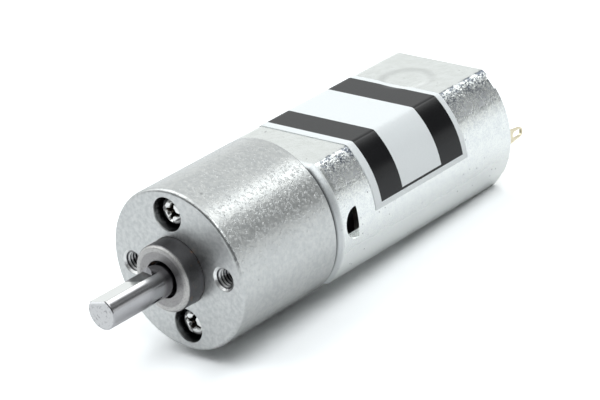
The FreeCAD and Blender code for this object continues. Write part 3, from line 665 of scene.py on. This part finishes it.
def weld(bm, gap=WELD):
    bmesh.ops.remove_doubles(bm, verts=bm.verts, dist=gap * MM)


def make_piece(name, bm, body, slot, replaces, sharp):
    """Close a mesh and put it in place of its node; edges above the angle stay sharp."""
    weld(bm)
    bmesh.ops.recalc_face_normals(bm, faces=bm.faces)
    piece = as_object(name, bm)
    mesh = piece.data
    mesh.materials.append(FINISHES[slot])
    mesh.polygons.foreach_set("use_smooth", [True] * len(mesh.polygons))
    mesh.set_sharp_from_angle(angle=radians(sharp))
    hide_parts(*replaces)
    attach(piece, body)
    print(name + ":", len(mesh.polygons), "faces")


print("corners weld within, mm:", WELD)

# %% [markdown]
# ## The gearbox case
# The case could be a cylinder with holes cut by booleans. Filling the flat front
# between its hoops is cleaner: the rim, the bush's seat and the four holes are hoops
# in one plane, and one fill covers what lies between them. Then each hoop is drawn on,
# outwards over the rounded edge or inwards down its hole. A thread is its profile,
# swept along a helix inside the tapped hole.

# %% Thread
THREAD_FOOT, THREAD_TOP = 1.28, 1.03  # radii of the ridge
THREAD_START, THREAD_PITCH = 0.2, 0.45  # the depth where it begins, and its rise
THREAD_TURNS, THREAD_FACETS = 5.5, 36  # turns, and facets in each turn


def outline(bm, points, x=0.0, z=0.0, closed=True):
    """Corners and edges through points of (radius, y), in millimetres."""
    verts = [bmesh.ops.create_vert(bm, co=Vector((x + r, y, z)) * MM)["vert"][0]
             for r, y in points]
    following = verts[1:] + verts[:1] if closed else verts[1:]
    edges = []
    for pair in zip(verts, following):
        edges += bmesh.ops.contextual_create(bm, geom=list(pair))["edges"]
    return verts, edges


def thread(bm, x, z):
    """A helical ridge that stands inwards from the wall of a tapped hole."""
    half = THREAD_PITCH * 0.46
    foot, crest, front, rear = THREAD_FOOT, THREAD_TOP, THREAD_START, THREAD_START + 2 * half
    verts, edges = outline(bm, [
        (foot, front), (foot - 0.06, front + 0.02), (crest, front + half * 0.85),
        (crest, front + half * 1.15), (foot - 0.06, rear - 0.02), (foot, rear)], x, z)
    swept = bmesh.ops.spin(
        bm, geom=verts + edges, cent=Vector((x, 0, z)) * MM, axis=REAR,
        dvec=(0, THREAD_PITCH * MM / THREAD_FACETS, 0), angle=tau * THREAD_TURNS,
        steps=int(THREAD_FACETS * THREAD_TURNS))
    for ends in (edges, only(BMEdge, swept["geom_last"])):
        bmesh.ops.contextual_create(bm, geom=ends)


print("thread turns:", THREAD_TURNS)

# %% Case
CASE_EDGE = 0.45  # rounding of the front edge
CASE_INSIDE = 8.9  # inner radius
FRONT_WALL = 3.4  # thickness of the front wall
PLATE_SEAT, PLATE_DEPTH = 9.3, 1.5  # recess for the rear plate
BUSH_RADIUS, BUSH_BODY = 4.15, 3.6  # the bush ahead of the face, and in the wall
BORE_FLOOR = 2.05  # depth of the bores over the screws
SCREW_HOLE, POST = 1.05, 1.9  # a screw's hole, and the post round it


def build_case():
    bm = bmesh.new()
    step = CASE_REAR - PLATE_DEPTH
    rim = hoop(bm, CASE_RADIUS - CASE_EDGE - 0.15, 0)
    seat = hoop(bm, BUSH_RADIUS + 0.05, 0)
    bores = [hoop(bm, BORE + 0.08, 0, x, z, SMALL) for x, z in screw_places]
    taps = [hoop(bm, TAP_MOUTH + 0.05, 0, x, z, SMALL) for x, z in tap_places]
    every = rim + seat + sum(bores, []) + sum(taps, [])
    bmesh.ops.triangle_fill(bm, use_beauty=True, use_dissolve=False, edges=every, normal=FRONT)

    front_edge = arc(CASE_EDGE, CASE_RADIUS - CASE_EDGE, CASE_EDGE, -90, 0, 10)
    outside = draw_on(bm, rim, front_edge + [
        (CASE_RADIUS, CASE_REAR - 0.2), (CASE_RADIUS - 0.06, CASE_REAR - 0.06),
        (CASE_RADIUS - 0.2, CASE_REAR), (PLATE_SEAT, CASE_REAR), (PLATE_SEAT, step),
        (CASE_INSIDE, step), (CASE_INSIDE, FRONT_WALL)])
    seat = draw_on(bm, seat, [(BUSH_RADIUS, 0.05), (BUSH_BODY, 0.3), (BUSH_BODY, FRONT_WALL)])
    through = [draw_on(bm, bore, [
        (BORE + 0.02, 0.03), (BORE, 0.08), (BORE, BORE_FLOOR - 0.05), (BORE - 0.05, BORE_FLOOR),
        (SCREW_HOLE, BORE_FLOOR), (SCREW_HOLE, FRONT_WALL)]) for bore in bores]
    for tap in taps:
        end = draw_on(bm, tap, [(TAP_MOUTH, 0.03), (TAP, 0.27), (TAP, 2.9), (TAP - 0.25, 3.0)])
        bmesh.ops.contextual_create(bm, geom=end)
    posts = [hoop(bm, POST, FRONT_WALL, x, z, SMALL) for x, z in screw_places]
    inner = outside + seat + sum(posts, [])
    bmesh.ops.triangle_fill(bm, use_beauty=True, use_dissolve=False, edges=inner, normal=REAR)
    for post, bore in zip(posts, through):
        top = draw_on(bm, post, [(POST, step), (SCREW_HOLE, step)])
        bmesh.ops.bridge_loops(bm, edges=top + bore)
    for x, z in tap_places:
        thread(bm, x, z)
    return bm


make_piece("gearbox_case", build_case(), "case", "cast_case", ["gearbox_housing"], sharp=12)

# %% [markdown]
# ## The bush
# A turned ring whose front edge is chamfered and whose bore opens in a small funnel.
# Spinning its outline once round the axis makes it in one go, and a bevel then takes
# the last sharpness off its edges.


# %% Bush
SHAFT_RADIUS = 2.0
BUSH_BORE, BUSH_FUNNEL = SHAFT_RADIUS + 0.02, SHAFT_RADIUS + 0.3


def spin_outline(bm, points, count=ROUND, closed=True):
    """Turn an outline of (radius, y) corners, in millimetres, once round the Y axis."""
    verts, edges = outline(bm, points, closed=closed)
    bmesh.ops.spin(
        bm, geom=verts + edges, cent=(0, 0, 0), axis=REAR, angle=tau,
        steps=count, use_merge=True)
    weld(bm)


def soften(bm, width, above=30.0, keep=lambda edge: True):
    """Bevel the edges whose faces meet at more than an angle in degrees."""
    bmesh.ops.recalc_face_normals(bm, faces=bm.faces)
    sharp = [
        edge for edge in bm.edges
        if len(edge.link_faces) == 2 and edge.calc_face_angle() > radians(above) and keep(edge)]
    bmesh.ops.bevel(
        bm, geom=sharp, offset=width * MM, offset_type="OFFSET", segments=2,
        profile=0.5, affect="EDGES", material=-1, clamp_overlap=True)


def build_bush():
    bm = bmesh.new()
    spin_outline(bm, [
        (BUSH_FUNNEL, BUSH_FRONT), (BUSH_RADIUS - 0.3, BUSH_FRONT),
        (BUSH_RADIUS, BUSH_FRONT + 0.3), (BUSH_RADIUS, 0), (BUSH_BODY, 0.3),
        (BUSH_BODY, FRONT_WALL), (2.9, FRONT_WALL), (2.9, BUSH_REAR), (BUSH_BORE, BUSH_REAR),
        (BUSH_BORE, BUSH_FRONT + 0.78), (BUSH_FUNNEL, BUSH_FRONT + 0.5)])
    soften(bm, 0.06)
    return bm


make_piece("bush", build_bush(), "case", "sintered_iron", ["output_bush"], sharp=12)

# %% [markdown]
# ## The D-shaft
# The shaft is turned first, with its tip a little rounded. The flat is then taken off
# with a block, as a cutter would take it off, and the block's end leans both ways
# where the cutter ran out. At rest the flat stands a little turned.


# %% Shaft
FLAT_END = -4.4  # where the flat ends, along the motor
RUN_OUT, LEAN = 1.6, 0.42  # how its end rises backwards, and leans sideways
JOURNAL = SHAFT_RADIUS - 0.01  # radius in the bush, between the next two places
JOURNAL_START, JOURNAL_END = -2.65, 3.85
GEAR_END, SPINDLE = 6.2, 0.6  # behind the gear's seat the shaft is a thin spindle


def build_shaft():
    turned = bmesh.new()
    tip_round = [(0.14, 0), (0.09, 0.02), (0.05, 0.05), (0.02, 0.09), (0, 0.14)]
    spin_outline(turned, [(0, SHAFT_TIP)] + [
        (SHAFT_RADIUS - inwards, SHAFT_TIP + behind) for inwards, behind in tip_round] + [
        (SHAFT_RADIUS, JOURNAL_START - 0.75), (JOURNAL, JOURNAL_START), (JOURNAL, JOURNAL_END),
        (SHAFT_RADIUS, JOURNAL_END), (SHAFT_RADIUS, GEAR_END), (SPINDLE, GEAR_END),
        (SPINDLE, SHAFT_REAR), (0, SHAFT_REAR)], count=120, closed=False)
    block = bmesh.new()
    for vert in bmesh.ops.create_cube(block, size=1)["verts"]:
        x = copysign(3.0, vert.co.x)
        above = vert.co.z > 0
        end = FLAT_END - LEAN * x + (RUN_OUT if above else 0)
        y = end if vert.co.y > 0 else SHAFT_TIP - 2
        vert.co = Vector((x, y, FLAT + 2 if above else FLAT)) * MM
    bm = cut(turned, block)
    turn = Matrix.Rotation(-FLAT_TURN, 3, "Y")
    bmesh.ops.rotate(bm, cent=(0, 0, 0), matrix=turn, verts=bm.verts)
    return bm


make_piece("d_shaft", build_shaft(), "output", "bright_steel", ["output_shaft"], sharp=12)

# %% [markdown]
# ## Terminals and end cap
# The terminals and the end cap already have their exact shape as nodes. A copy of such
# a node is merged into one skin, its flat triangles are joined, and its edges are
# bevelled, which makes a small part catch the light.


# %% Softened copies
def soften_node(name, node, body, width):
    """A copy of a node with its edges bevelled, in place of the node."""
    bm = bmesh.new()
    bm.from_mesh(frame["nodes"][node].data)
    weld(bm)
    bmesh.ops.dissolve_limit(
        bm, angle_limit=radians(1.0), use_dissolve_boundaries=False, verts=bm.verts,
        edges=bm.edges, delimit=set())
    soften(bm, width)
    make_piece(name, bm, body, SLOT_OF[node], [node], sharp=20)


soften_node("solder_terminals", "terminals", "case", 0.05)
soften_node("rear_cap", "end_cap", "case", 0.08)

# %% [markdown]
# ## The screws
# A pan head is a flat top, a domed shoulder and a straight rim, turned once round. Its
# cross recess is cut with a tool of the punch's own shape: two tapered wings and a
# pointed core. The cut edges are then rounded, because the punch drags the metal with
# it, and that soft lip is what glitters.

# %% Screws
RECESS_TURNS = (14.0, 25.0)  # the crosses came to rest at these angles
WING_TOP = (1.36, -0.1, 0.30)  # half length, depth and half width of a wing
WING_DEEP = (0.5, 1.1, 0.15)
HEAD_RADIUS, HEAD_HEIGHT = 1.75, 1.3
HEAD_FLAT, HEAD_DOME = 0.9, 0.75  # radius where the dome begins, and its height
SHANK = 1.0  # radius of the threaded part


def punch(turn):
    """The tool that presses a cross recess, its top a little ahead of the head."""
    bm = bmesh.new()
    for wing in (0, 90):
        made = bmesh.ops.create_cube(bm, size=1)["verts"]
        for vert in made:
            sizes = WING_DEEP if vert.co.y > 0 else WING_TOP
            vert.co = Vector((copysign(sizes[0], vert.co.x), sizes[1],
                              copysign(sizes[2], vert.co.z))) * MM
        place = Matrix.Rotation(radians(wing + turn), 4, "Y")
        bmesh.ops.transform(bm, matrix=place, verts=made)
    core = move_to(0, 0.5, 0) @ Matrix.Rotation(-pi / 2, 4, "X")
    bmesh.ops.create_cone(
        bm, cap_ends=True, segments=24, radius1=0.78 * MM, radius2=0.12 * MM, depth=1.2 * MM,
        matrix=core)
    return bm


def build_screw(x, z, turn):
    head = bmesh.new()
    width = HEAD_RADIUS - HEAD_FLAT
    dome = [(HEAD_FLAT + width * sin(t), HEAD_DOME * (1 - cos(t))) for t in
            (radians(15 * i) for i in range(7))]
    tip = CASE_REAR - HEAD_SINK - 0.02
    spin_outline(head, [(0, 0), (0.6, 0)] + dome + [
        (HEAD_RADIUS, HEAD_HEIGHT - 0.06), (HEAD_RADIUS - 0.06, HEAD_HEIGHT),
        (SHANK, HEAD_HEIGHT), (SHANK, tip - 0.3), (SHANK - 0.25, tip), (0, tip)],
        count=64, closed=False)
    bm = cut(head, punch(turn), crossing=True)
    weld(bm, 4 * WELD)
    near_top = (HEAD_DOME + 0.1) * MM
    soften(bm, 0.045, above=38.0, keep=lambda edge: all(v.co.y < near_top for v in edge.verts))
    bmesh.ops.translate(bm, vec=Vector((x, HEAD_SINK, z)) * MM, verts=bm.verts)
    return bm


def join(sources):
    """One mesh from several, each left closed by itself."""
    bm = bmesh.new()
    for source in sources:
        mesh = bpy.data.meshes.new("part")
        source.to_mesh(mesh)
        source.free()
        bm.from_mesh(mesh)
        bpy.data.meshes.remove(mesh)
    return bm


make_piece(
    "pan_head_screws",
    join([build_screw(x, z, turn) for (x, z), turn in zip(screw_places, RECESS_TURNS)]),
    "case", "nickel_screw", ["housing_screws"], sharp=40)

# %% [markdown]
# ## The can
# In section the can is a circle with two flats, and the corner between them is a
# little round. One rule gives the distance from the axis to that outline at any angle.
# A hoop with many edges is drawn on from the collar, over the front rounding, along
# the side, round the rim and back inside, and each hoop is fitted to the outline.

# %% Outline of the can
CAN_ROUND = 10.2  # radius of the round sides
CAN_CORNER = 0.2  # softness of the corner between flat and round side


def can_reach(angle, inset):
    """Distance from the axis to the can's outline, moved inwards by inset."""
    arc_side = CAN_ROUND - inset
    flat_side = (CAN_FLAT - inset) / max(abs(sin(angle)), 0.01)
    near = max(CAN_CORNER - abs(arc_side - flat_side), 0.0) / CAN_CORNER
    return min(arc_side, flat_side) - near * near * CAN_CORNER / 4


print("can's corner at, mm:", round(can_reach(asin(CAN_FLAT / CAN_ROUND), 0), 3))

# %% Press mark
DIMPLE = Vector((0.0, PRESS_MARK))
DIMPLE_RADIUS = 3.5
DIMPLE_DEPTH = 0.12
DIMPLE_EDGE = 1.3  # width of its soft edge


def pressed(point):
    """A point of the can's skin in millimetres, sunk into the round press mark."""
    away = (Vector((point.x, point.y)) - DIMPLE).length
    if abs(point.z) < CAN_FLAT - 0.5 or away > DIMPLE_RADIUS:
        return point
    slope = min(1.0, (DIMPLE_RADIUS - away) / DIMPLE_EDGE)
    depth = DIMPLE_DEPTH * slope * slope * (3 - 2 * slope)
    return Vector((point.x, point.y, point.z - copysign(depth, point.z)))


print("press mark radius and depth, mm:", DIMPLE_RADIUS, DIMPLE_DEPTH)


# %% Can shell
CAN_WALL = 0.8
CAN_BEND = 1.2  # rounding of the can's front edge
COLLAR, COLLAR_LENGTH = 3.0, 1.4  # the collar round the front bearing
BEARING_SEAT, SHAFT_HOLE = 2.5, 1.55


def fit_hoop(edges, inset, y, dimpled):
    """Bring a hoop onto the can's outline."""
    for vert in corners(edges):
        angle = atan2(vert.co.z, vert.co.x)
        reach = can_reach(angle, inset)
        point = Vector((reach * cos(angle), y, reach * sin(angle)))
        vert.co = (pressed(point) if dimpled else point) * MM


def can_rings():
    """Inset and place of each hoop, from the front over the outside to the inside."""
    rings = [(CAN_BEND + 1.6, CASE_REAR), (CAN_BEND + 0.1, CASE_REAR)]
    for i in range(9):
        turn = radians(90 * i / 8)
        rings.append((CAN_BEND * (1 - sin(turn)), CASE_REAR + CAN_BEND * (1 - cos(turn))))
    over_mark = [38.9 + 0.28 * i for i in range(26)]
    along = [CASE_REAR + CAN_BEND + 0.2, 23.0, 38.6] + over_mark + [46.4, CAN_REAR - 0.1]
    rings += [(0.0, y) for y in along]
    rings += [(0.03, CAN_REAR - 0.03), (0.1, CAN_REAR)]
    rings += [(CAN_WALL - 0.06, CAN_REAR), (CAN_WALL, CAN_REAR - 0.06)]
    return rings + [(CAN_WALL, CASE_REAR + 1.4), (CAN_WALL + 0.4, CASE_REAR + 1.0)]


def build_can():
    bm = bmesh.new()
    front, inside = CASE_REAR - COLLAR_LENGTH, CASE_REAR + 1.0
    bore = hoop(bm, SHAFT_HOLE, front, count=360)
    edges = draw_on(bm, bore, [(COLLAR, front), (COLLAR, CASE_REAR), (5.0, CASE_REAR)])
    for inset, y in can_rings() + [(3.0, inside)]:
        edges = draw_on(bm, edges, [(5.0, y)])
        fit_hoop(edges, inset, y, dimpled=inset < 0.2)
    edges = draw_on(bm, edges, [(BEARING_SEAT, inside)])
    for vert in corners(edges):  # the hoop before it wasn't round, so it is rounded here
        vert.co = (Vector((vert.co.x, 0, vert.co.z)).normalized() * BEARING_SEAT
                   + REAR * inside) * MM
    edges = draw_on(bm, edges, [(BEARING_SEAT, CASE_REAR - 1.0), (SHAFT_HOLE, CASE_REAR - 1.0)])
    bmesh.ops.bridge_loops(bm, edges=edges + bore)
    return bm


print("hoops on the can:", len(can_rings()))

# %% Windows and notches
WINDOW_EDGE = CASE_REAR + 3.75  # the window's straight edge, along the motor
WINDOW_RADIUS = 2.0
NOTCH_ANGLES = (38.5, 141.5, 218.5, 321.5)
NOTCH = (2.4, 0.7, 1.9)  # size through the wall, along and across


def split(bm, place, normal):
    """Cut the whole mesh at a plane, drop what lies in front of it, and give the cut."""
    made = bmesh.ops.bisect_plane(
        bm, geom=whole(bm), dist=1e-8, plane_co=Vector(place) * MM, plane_no=normal,
        clear_outer=True)
    return only(BMEdge, made["geom_cut"])


def window_cutter():
    """A half-round bar into each round side, and four blocks for the rim's notches."""
    bm = bmesh.new()
    place = move_to(8.6, WINDOW_EDGE - 0.15, 0) @ Matrix.Rotation(pi / 2, 4, "Y")
    bmesh.ops.create_circle(
        bm, cap_ends=True, segments=64, radius=WINDOW_RADIUS * MM, matrix=place)
    split(bm, (0, WINDOW_EDGE, 0), REAR)
    tips = sorted(bm.verts, key=lambda v: -v.co.y)[:2]
    bmesh.ops.bevel(
        bm, geom=tips, offset=0.3 * MM, offset_type="OFFSET", segments=5, profile=0.5,
        affect="VERTICES", material=-1)
    bar = bmesh.ops.extrude_face_region(bm, geom=bm.faces[:])["geom"]
    bmesh.ops.translate(bm, vec=(3 * MM, 0, 0), verts=only(BMVert, bar))
    bmesh.ops.edgenet_fill(bm, edges=split(bm, (10.1, 0, -1.95), (-0.7, 0, -1)))
    other = bmesh.ops.duplicate(bm, geom=whole(bm))["geom"]
    bmesh.ops.scale(bm, vec=(-1, 1, 1), verts=only(BMVert, other))
    for degrees in NOTCH_ANGLES:
        turn = Matrix.Rotation(-radians(degrees), 4, "Y")
        size = Matrix.Diagonal([side * MM for side in NOTCH] + [1])
        bmesh.ops.create_cube(bm, size=1, matrix=turn @ move_to(9.9, CAN_REAR, 0) @ size)
    bmesh.ops.recalc_face_normals(bm, faces=bm.faces)
    return bm


can_mesh = cut(build_can(), window_cutter())
make_piece("drawn_can", can_mesh, "case", "plated_can", ["motor_can"], sharp=20)

# %% [markdown]
# ## The label's sheet
# A grid is laid over the upper flat and down both sides: its first direction becomes
# the angle round the axis and its second the distance along it. It lies on the can's
# own outline, so it follows the corner and the press mark, and solidify then gives it
# the thickness of paper.

# %% Label
LABEL_START, LABEL_END = 23.2, 40.4  # along the motor
LABEL_ANGLE = 89.5  # half of the label, from the middle of the upper flat
LABEL_THICK = 0.08
GLUE_GAP = 0.005  # so that its lower side doesn't lie in the can's skin


def build_label():
    bm = bmesh.new()
    bmesh.ops.create_grid(bm, x_segments=240, y_segments=60, size=0.5)
    for vert in bm.verts:
        angle = radians(90 - 2 * LABEL_ANGLE * vert.co.x)
        y = (LABEL_START + LABEL_END) / 2 + (LABEL_END - LABEL_START) * vert.co.y
        reach = can_reach(angle, -LABEL_THICK)
        vert.co = pressed(Vector((reach * cos(angle), y, reach * sin(angle)))) * MM
    sheet = bm.faces[:]
    bmesh.ops.recalc_face_normals(bm, faces=sheet)
    if sheet[0].normal.dot(sheet[0].calc_center_median()) < 0:
        bmesh.ops.reverse_faces(bm, faces=sheet)
    bmesh.ops.solidify(bm, geom=sheet, thickness=(LABEL_THICK - GLUE_GAP) * MM)
    return bm


make_piece("label_sheet", build_label(), "case", "label_paper", ["label"], sharp=50)

# %% [markdown]
# ## Floor, light and camera
# The motor lies on a white sheet in a light tent. It rests on the rear edge of its
# case and on the can's rear end, so the sheet slopes by four degrees in the motor's
# own frame. The sheet is a little brighter to the camera than to the motor: it stays
# white there, and its shadows stay deep because less light bounces under the motor.
#
# The tent is one world shader. Round soft lamps are lobes about a direction, added to
# the level of the walls, and dark gaps between the walls take light away. Metal shows
# whatever it mirrors, while paper and the sheet add up the light from all sides, so
# the two get their own levels: even walls and a low lamp for the metal, and light
# from high up for the rest, which leaves a dark line where the motor touches down.

# %% Floor
FLOOR_WHITE = 0.86  # how much of the light the sheet sends back
FLOOR_BRIGHT = 0.48  # and how much more of it reaches the camera
FLOOR_SHINE = 0.03  # and the mirroring metal
FLOOR_DROP = 2.3  # from the can's lower flat to the case's lowest edge
FLOOR_RISE = atan2(FLOOR_DROP, CAN_REAR - CASE_REAR)


def empty_net(block):
    """The node tree of a material or world, emptied."""
    block.use_nodes = True
    block.node_tree.nodes.clear()
    return Wire(block.node_tree)


def white_sheet():
    material = bpy.data.materials.new("white_sheet")
    net = empty_net(material)
    camera = net.node("LightPath", output="Is Camera Ray")
    mirror = net.node("LightPath", output="Is Glossy Ray")
    white = FLOOR_WHITE + camera * FLOOR_BRIGHT + mirror * FLOOR_SHINE
    net.node("OutputMaterial", inputs={"Surface": net.node("BsdfDiffuse", inputs={"Color": white})})
    return material


floor_bm = bmesh.new()
bmesh.ops.create_grid(floor_bm, x_segments=1, y_segments=1, size=3.0)
slope = move_to(0, CASE_REAR, -CASE_RADIUS - 0.01) @ Matrix.Rotation(FLOOR_RISE, 4, "X")
bmesh.ops.transform(floor_bm, matrix=slope, verts=floor_bm.verts)
floor = as_object("floor", floor_bm)
floor.data.materials.append(white_sheet())
print("floor slope:", round(FLOOR_RISE, 4))


# %% Light tent
# Azimuth and elevation in degrees, then how far from there each is full and where it
# ends. Azimuth 0 is ahead of the shaft, and 90 at the right, seen from the front.
KEY = (75, 52, 8, 24)  # the metal's main lamp, high at the right
TOP = (80, 68, 8, 24)  # higher still, for paper and the sheet
BACK = (160, 44, 4, 14)  # small and high, behind the motor
FRONT_LEFT = (-52, 40, 12, 34)  # broad, ahead at the left
LEFT = (-105, 60, 8, 24)  # high at the left
LOW = (-131, 3, 6, 18)  # faint, at the height of the sheet
GAPS = ((135, 17, 7, 16), (146, 31, 6, 15))
DARK_WALL = (25, 5, 70, 90)  # the wall ahead of the motor
METAL_LEVEL, MATT_LEVEL, MATT_SKY = 0.82, 0.11, 0.60  # the walls' own light


def direction(azimuth, elevation):
    """A unit vector towards an azimuth and elevation in degrees."""
    a, e = radians(azimuth), radians(elevation)
    return Vector((sin(a) * cos(e), -cos(a) * cos(e), sin(e)))


def light_tent():
    world = bpy.data.worlds.new("light_tent")
    net = empty_net(world)
    sky = net.node("TexCoord", output="Generated")

    def lobe(azimuth, elevation, inner, outer):
        """1 within inner degrees of a direction and 0 beyond outer degrees."""
        toward = tuple(direction(azimuth, elevation))
        dot = net.node("VectorMath", {"operation": "DOT_PRODUCT"}, {0: sky, 1: toward}, 1)
        return dot.step(cos(radians(outer)), cos(radians(inner)))

    left, front = lobe(*LEFT), lobe(*FRONT_LEFT)
    up = net.node("SeparateXYZ", inputs={0: sky}, output="Z")
    gap = lobe(*GAPS[0]).highest(lobe(*GAPS[1])) * up.step(0.20, 0.245)
    wall = lobe(*DARK_WALL) * up.step(-0.10, 0.0) * (1.0 - up.step(0.55, 0.80))
    mirror = net.node("LightPath", output="Is Glossy Ray")
    shiny = METAL_LEVEL + lobe(*KEY) * 2.0
    matt = MATT_LEVEL + up.step(0.3, 0.95) * MATT_SKY + lobe(*TOP) * 3.7
    matt = matt + front * 1.2 + left * 0.8
    level = matt + mirror * (shiny - matt) + lobe(*BACK) * 1.9 + lobe(*LOW) * 0.3
    level = level + left * 1.2 + front * 1.2
    level = level * (1.0 - gap * 0.82) * (1.0 - wall * 0.93)
    camera = net.node("LightPath", output="Is Camera Ray")
    strength = camera + (1.0 - camera) * level
    pale = mirror.blend((0.95, 0.99, 1.01), (0.975, 1.0, 1.0))
    tint = camera.blend(pale, (1, 1, 1))
    walls = net.node("Background", inputs={"Color": tint, "Strength": strength})
    net.node("OutputWorld", inputs={"Surface": walls})
    return world


scene = bpy.context.scene
scene.world = light_tent()
scene.view_settings.view_transform = "Standard"
print("world:", scene.world.name)

# %% Camera
AZIMUTH, ELEVATION, ROLL = 43.858, 23.497, radians(-7.105)
DISTANCE = 373.76
AIM = Vector((0, 15, 0))  # a point on the axis near the seam
ASIDE, ABOVE = 4.408, 1.929  # how far past it the camera looks
camera_data = bpy.data.cameras.new("camera")
camera_data.sensor_width = 36.0
camera_data.lens = 192.01
camera_data.clip_start = 0.01
back = direction(AZIMUTH, ELEVATION)
level_right = Vector((cos(radians(AZIMUTH)), sin(radians(AZIMUTH)), 0))
level_up = back.cross(level_right)
right = level_right * cos(ROLL) + level_up * sin(ROLL)
up = level_up * cos(ROLL) - level_right * sin(ROLL)
spot = (AIM + back * DISTANCE + level_right * ASIDE + level_up * ABOVE) * MM
camera = bpy.data.objects.new("camera", camera_data)
camera.matrix_world = Matrix.Translation(spot) @ Matrix((right, up, back)).transposed().to_4x4()
scene.collection.objects.link(camera)
scene.camera = camera
print("camera at, mm:", [round(value / MM, 1) for value in spot])
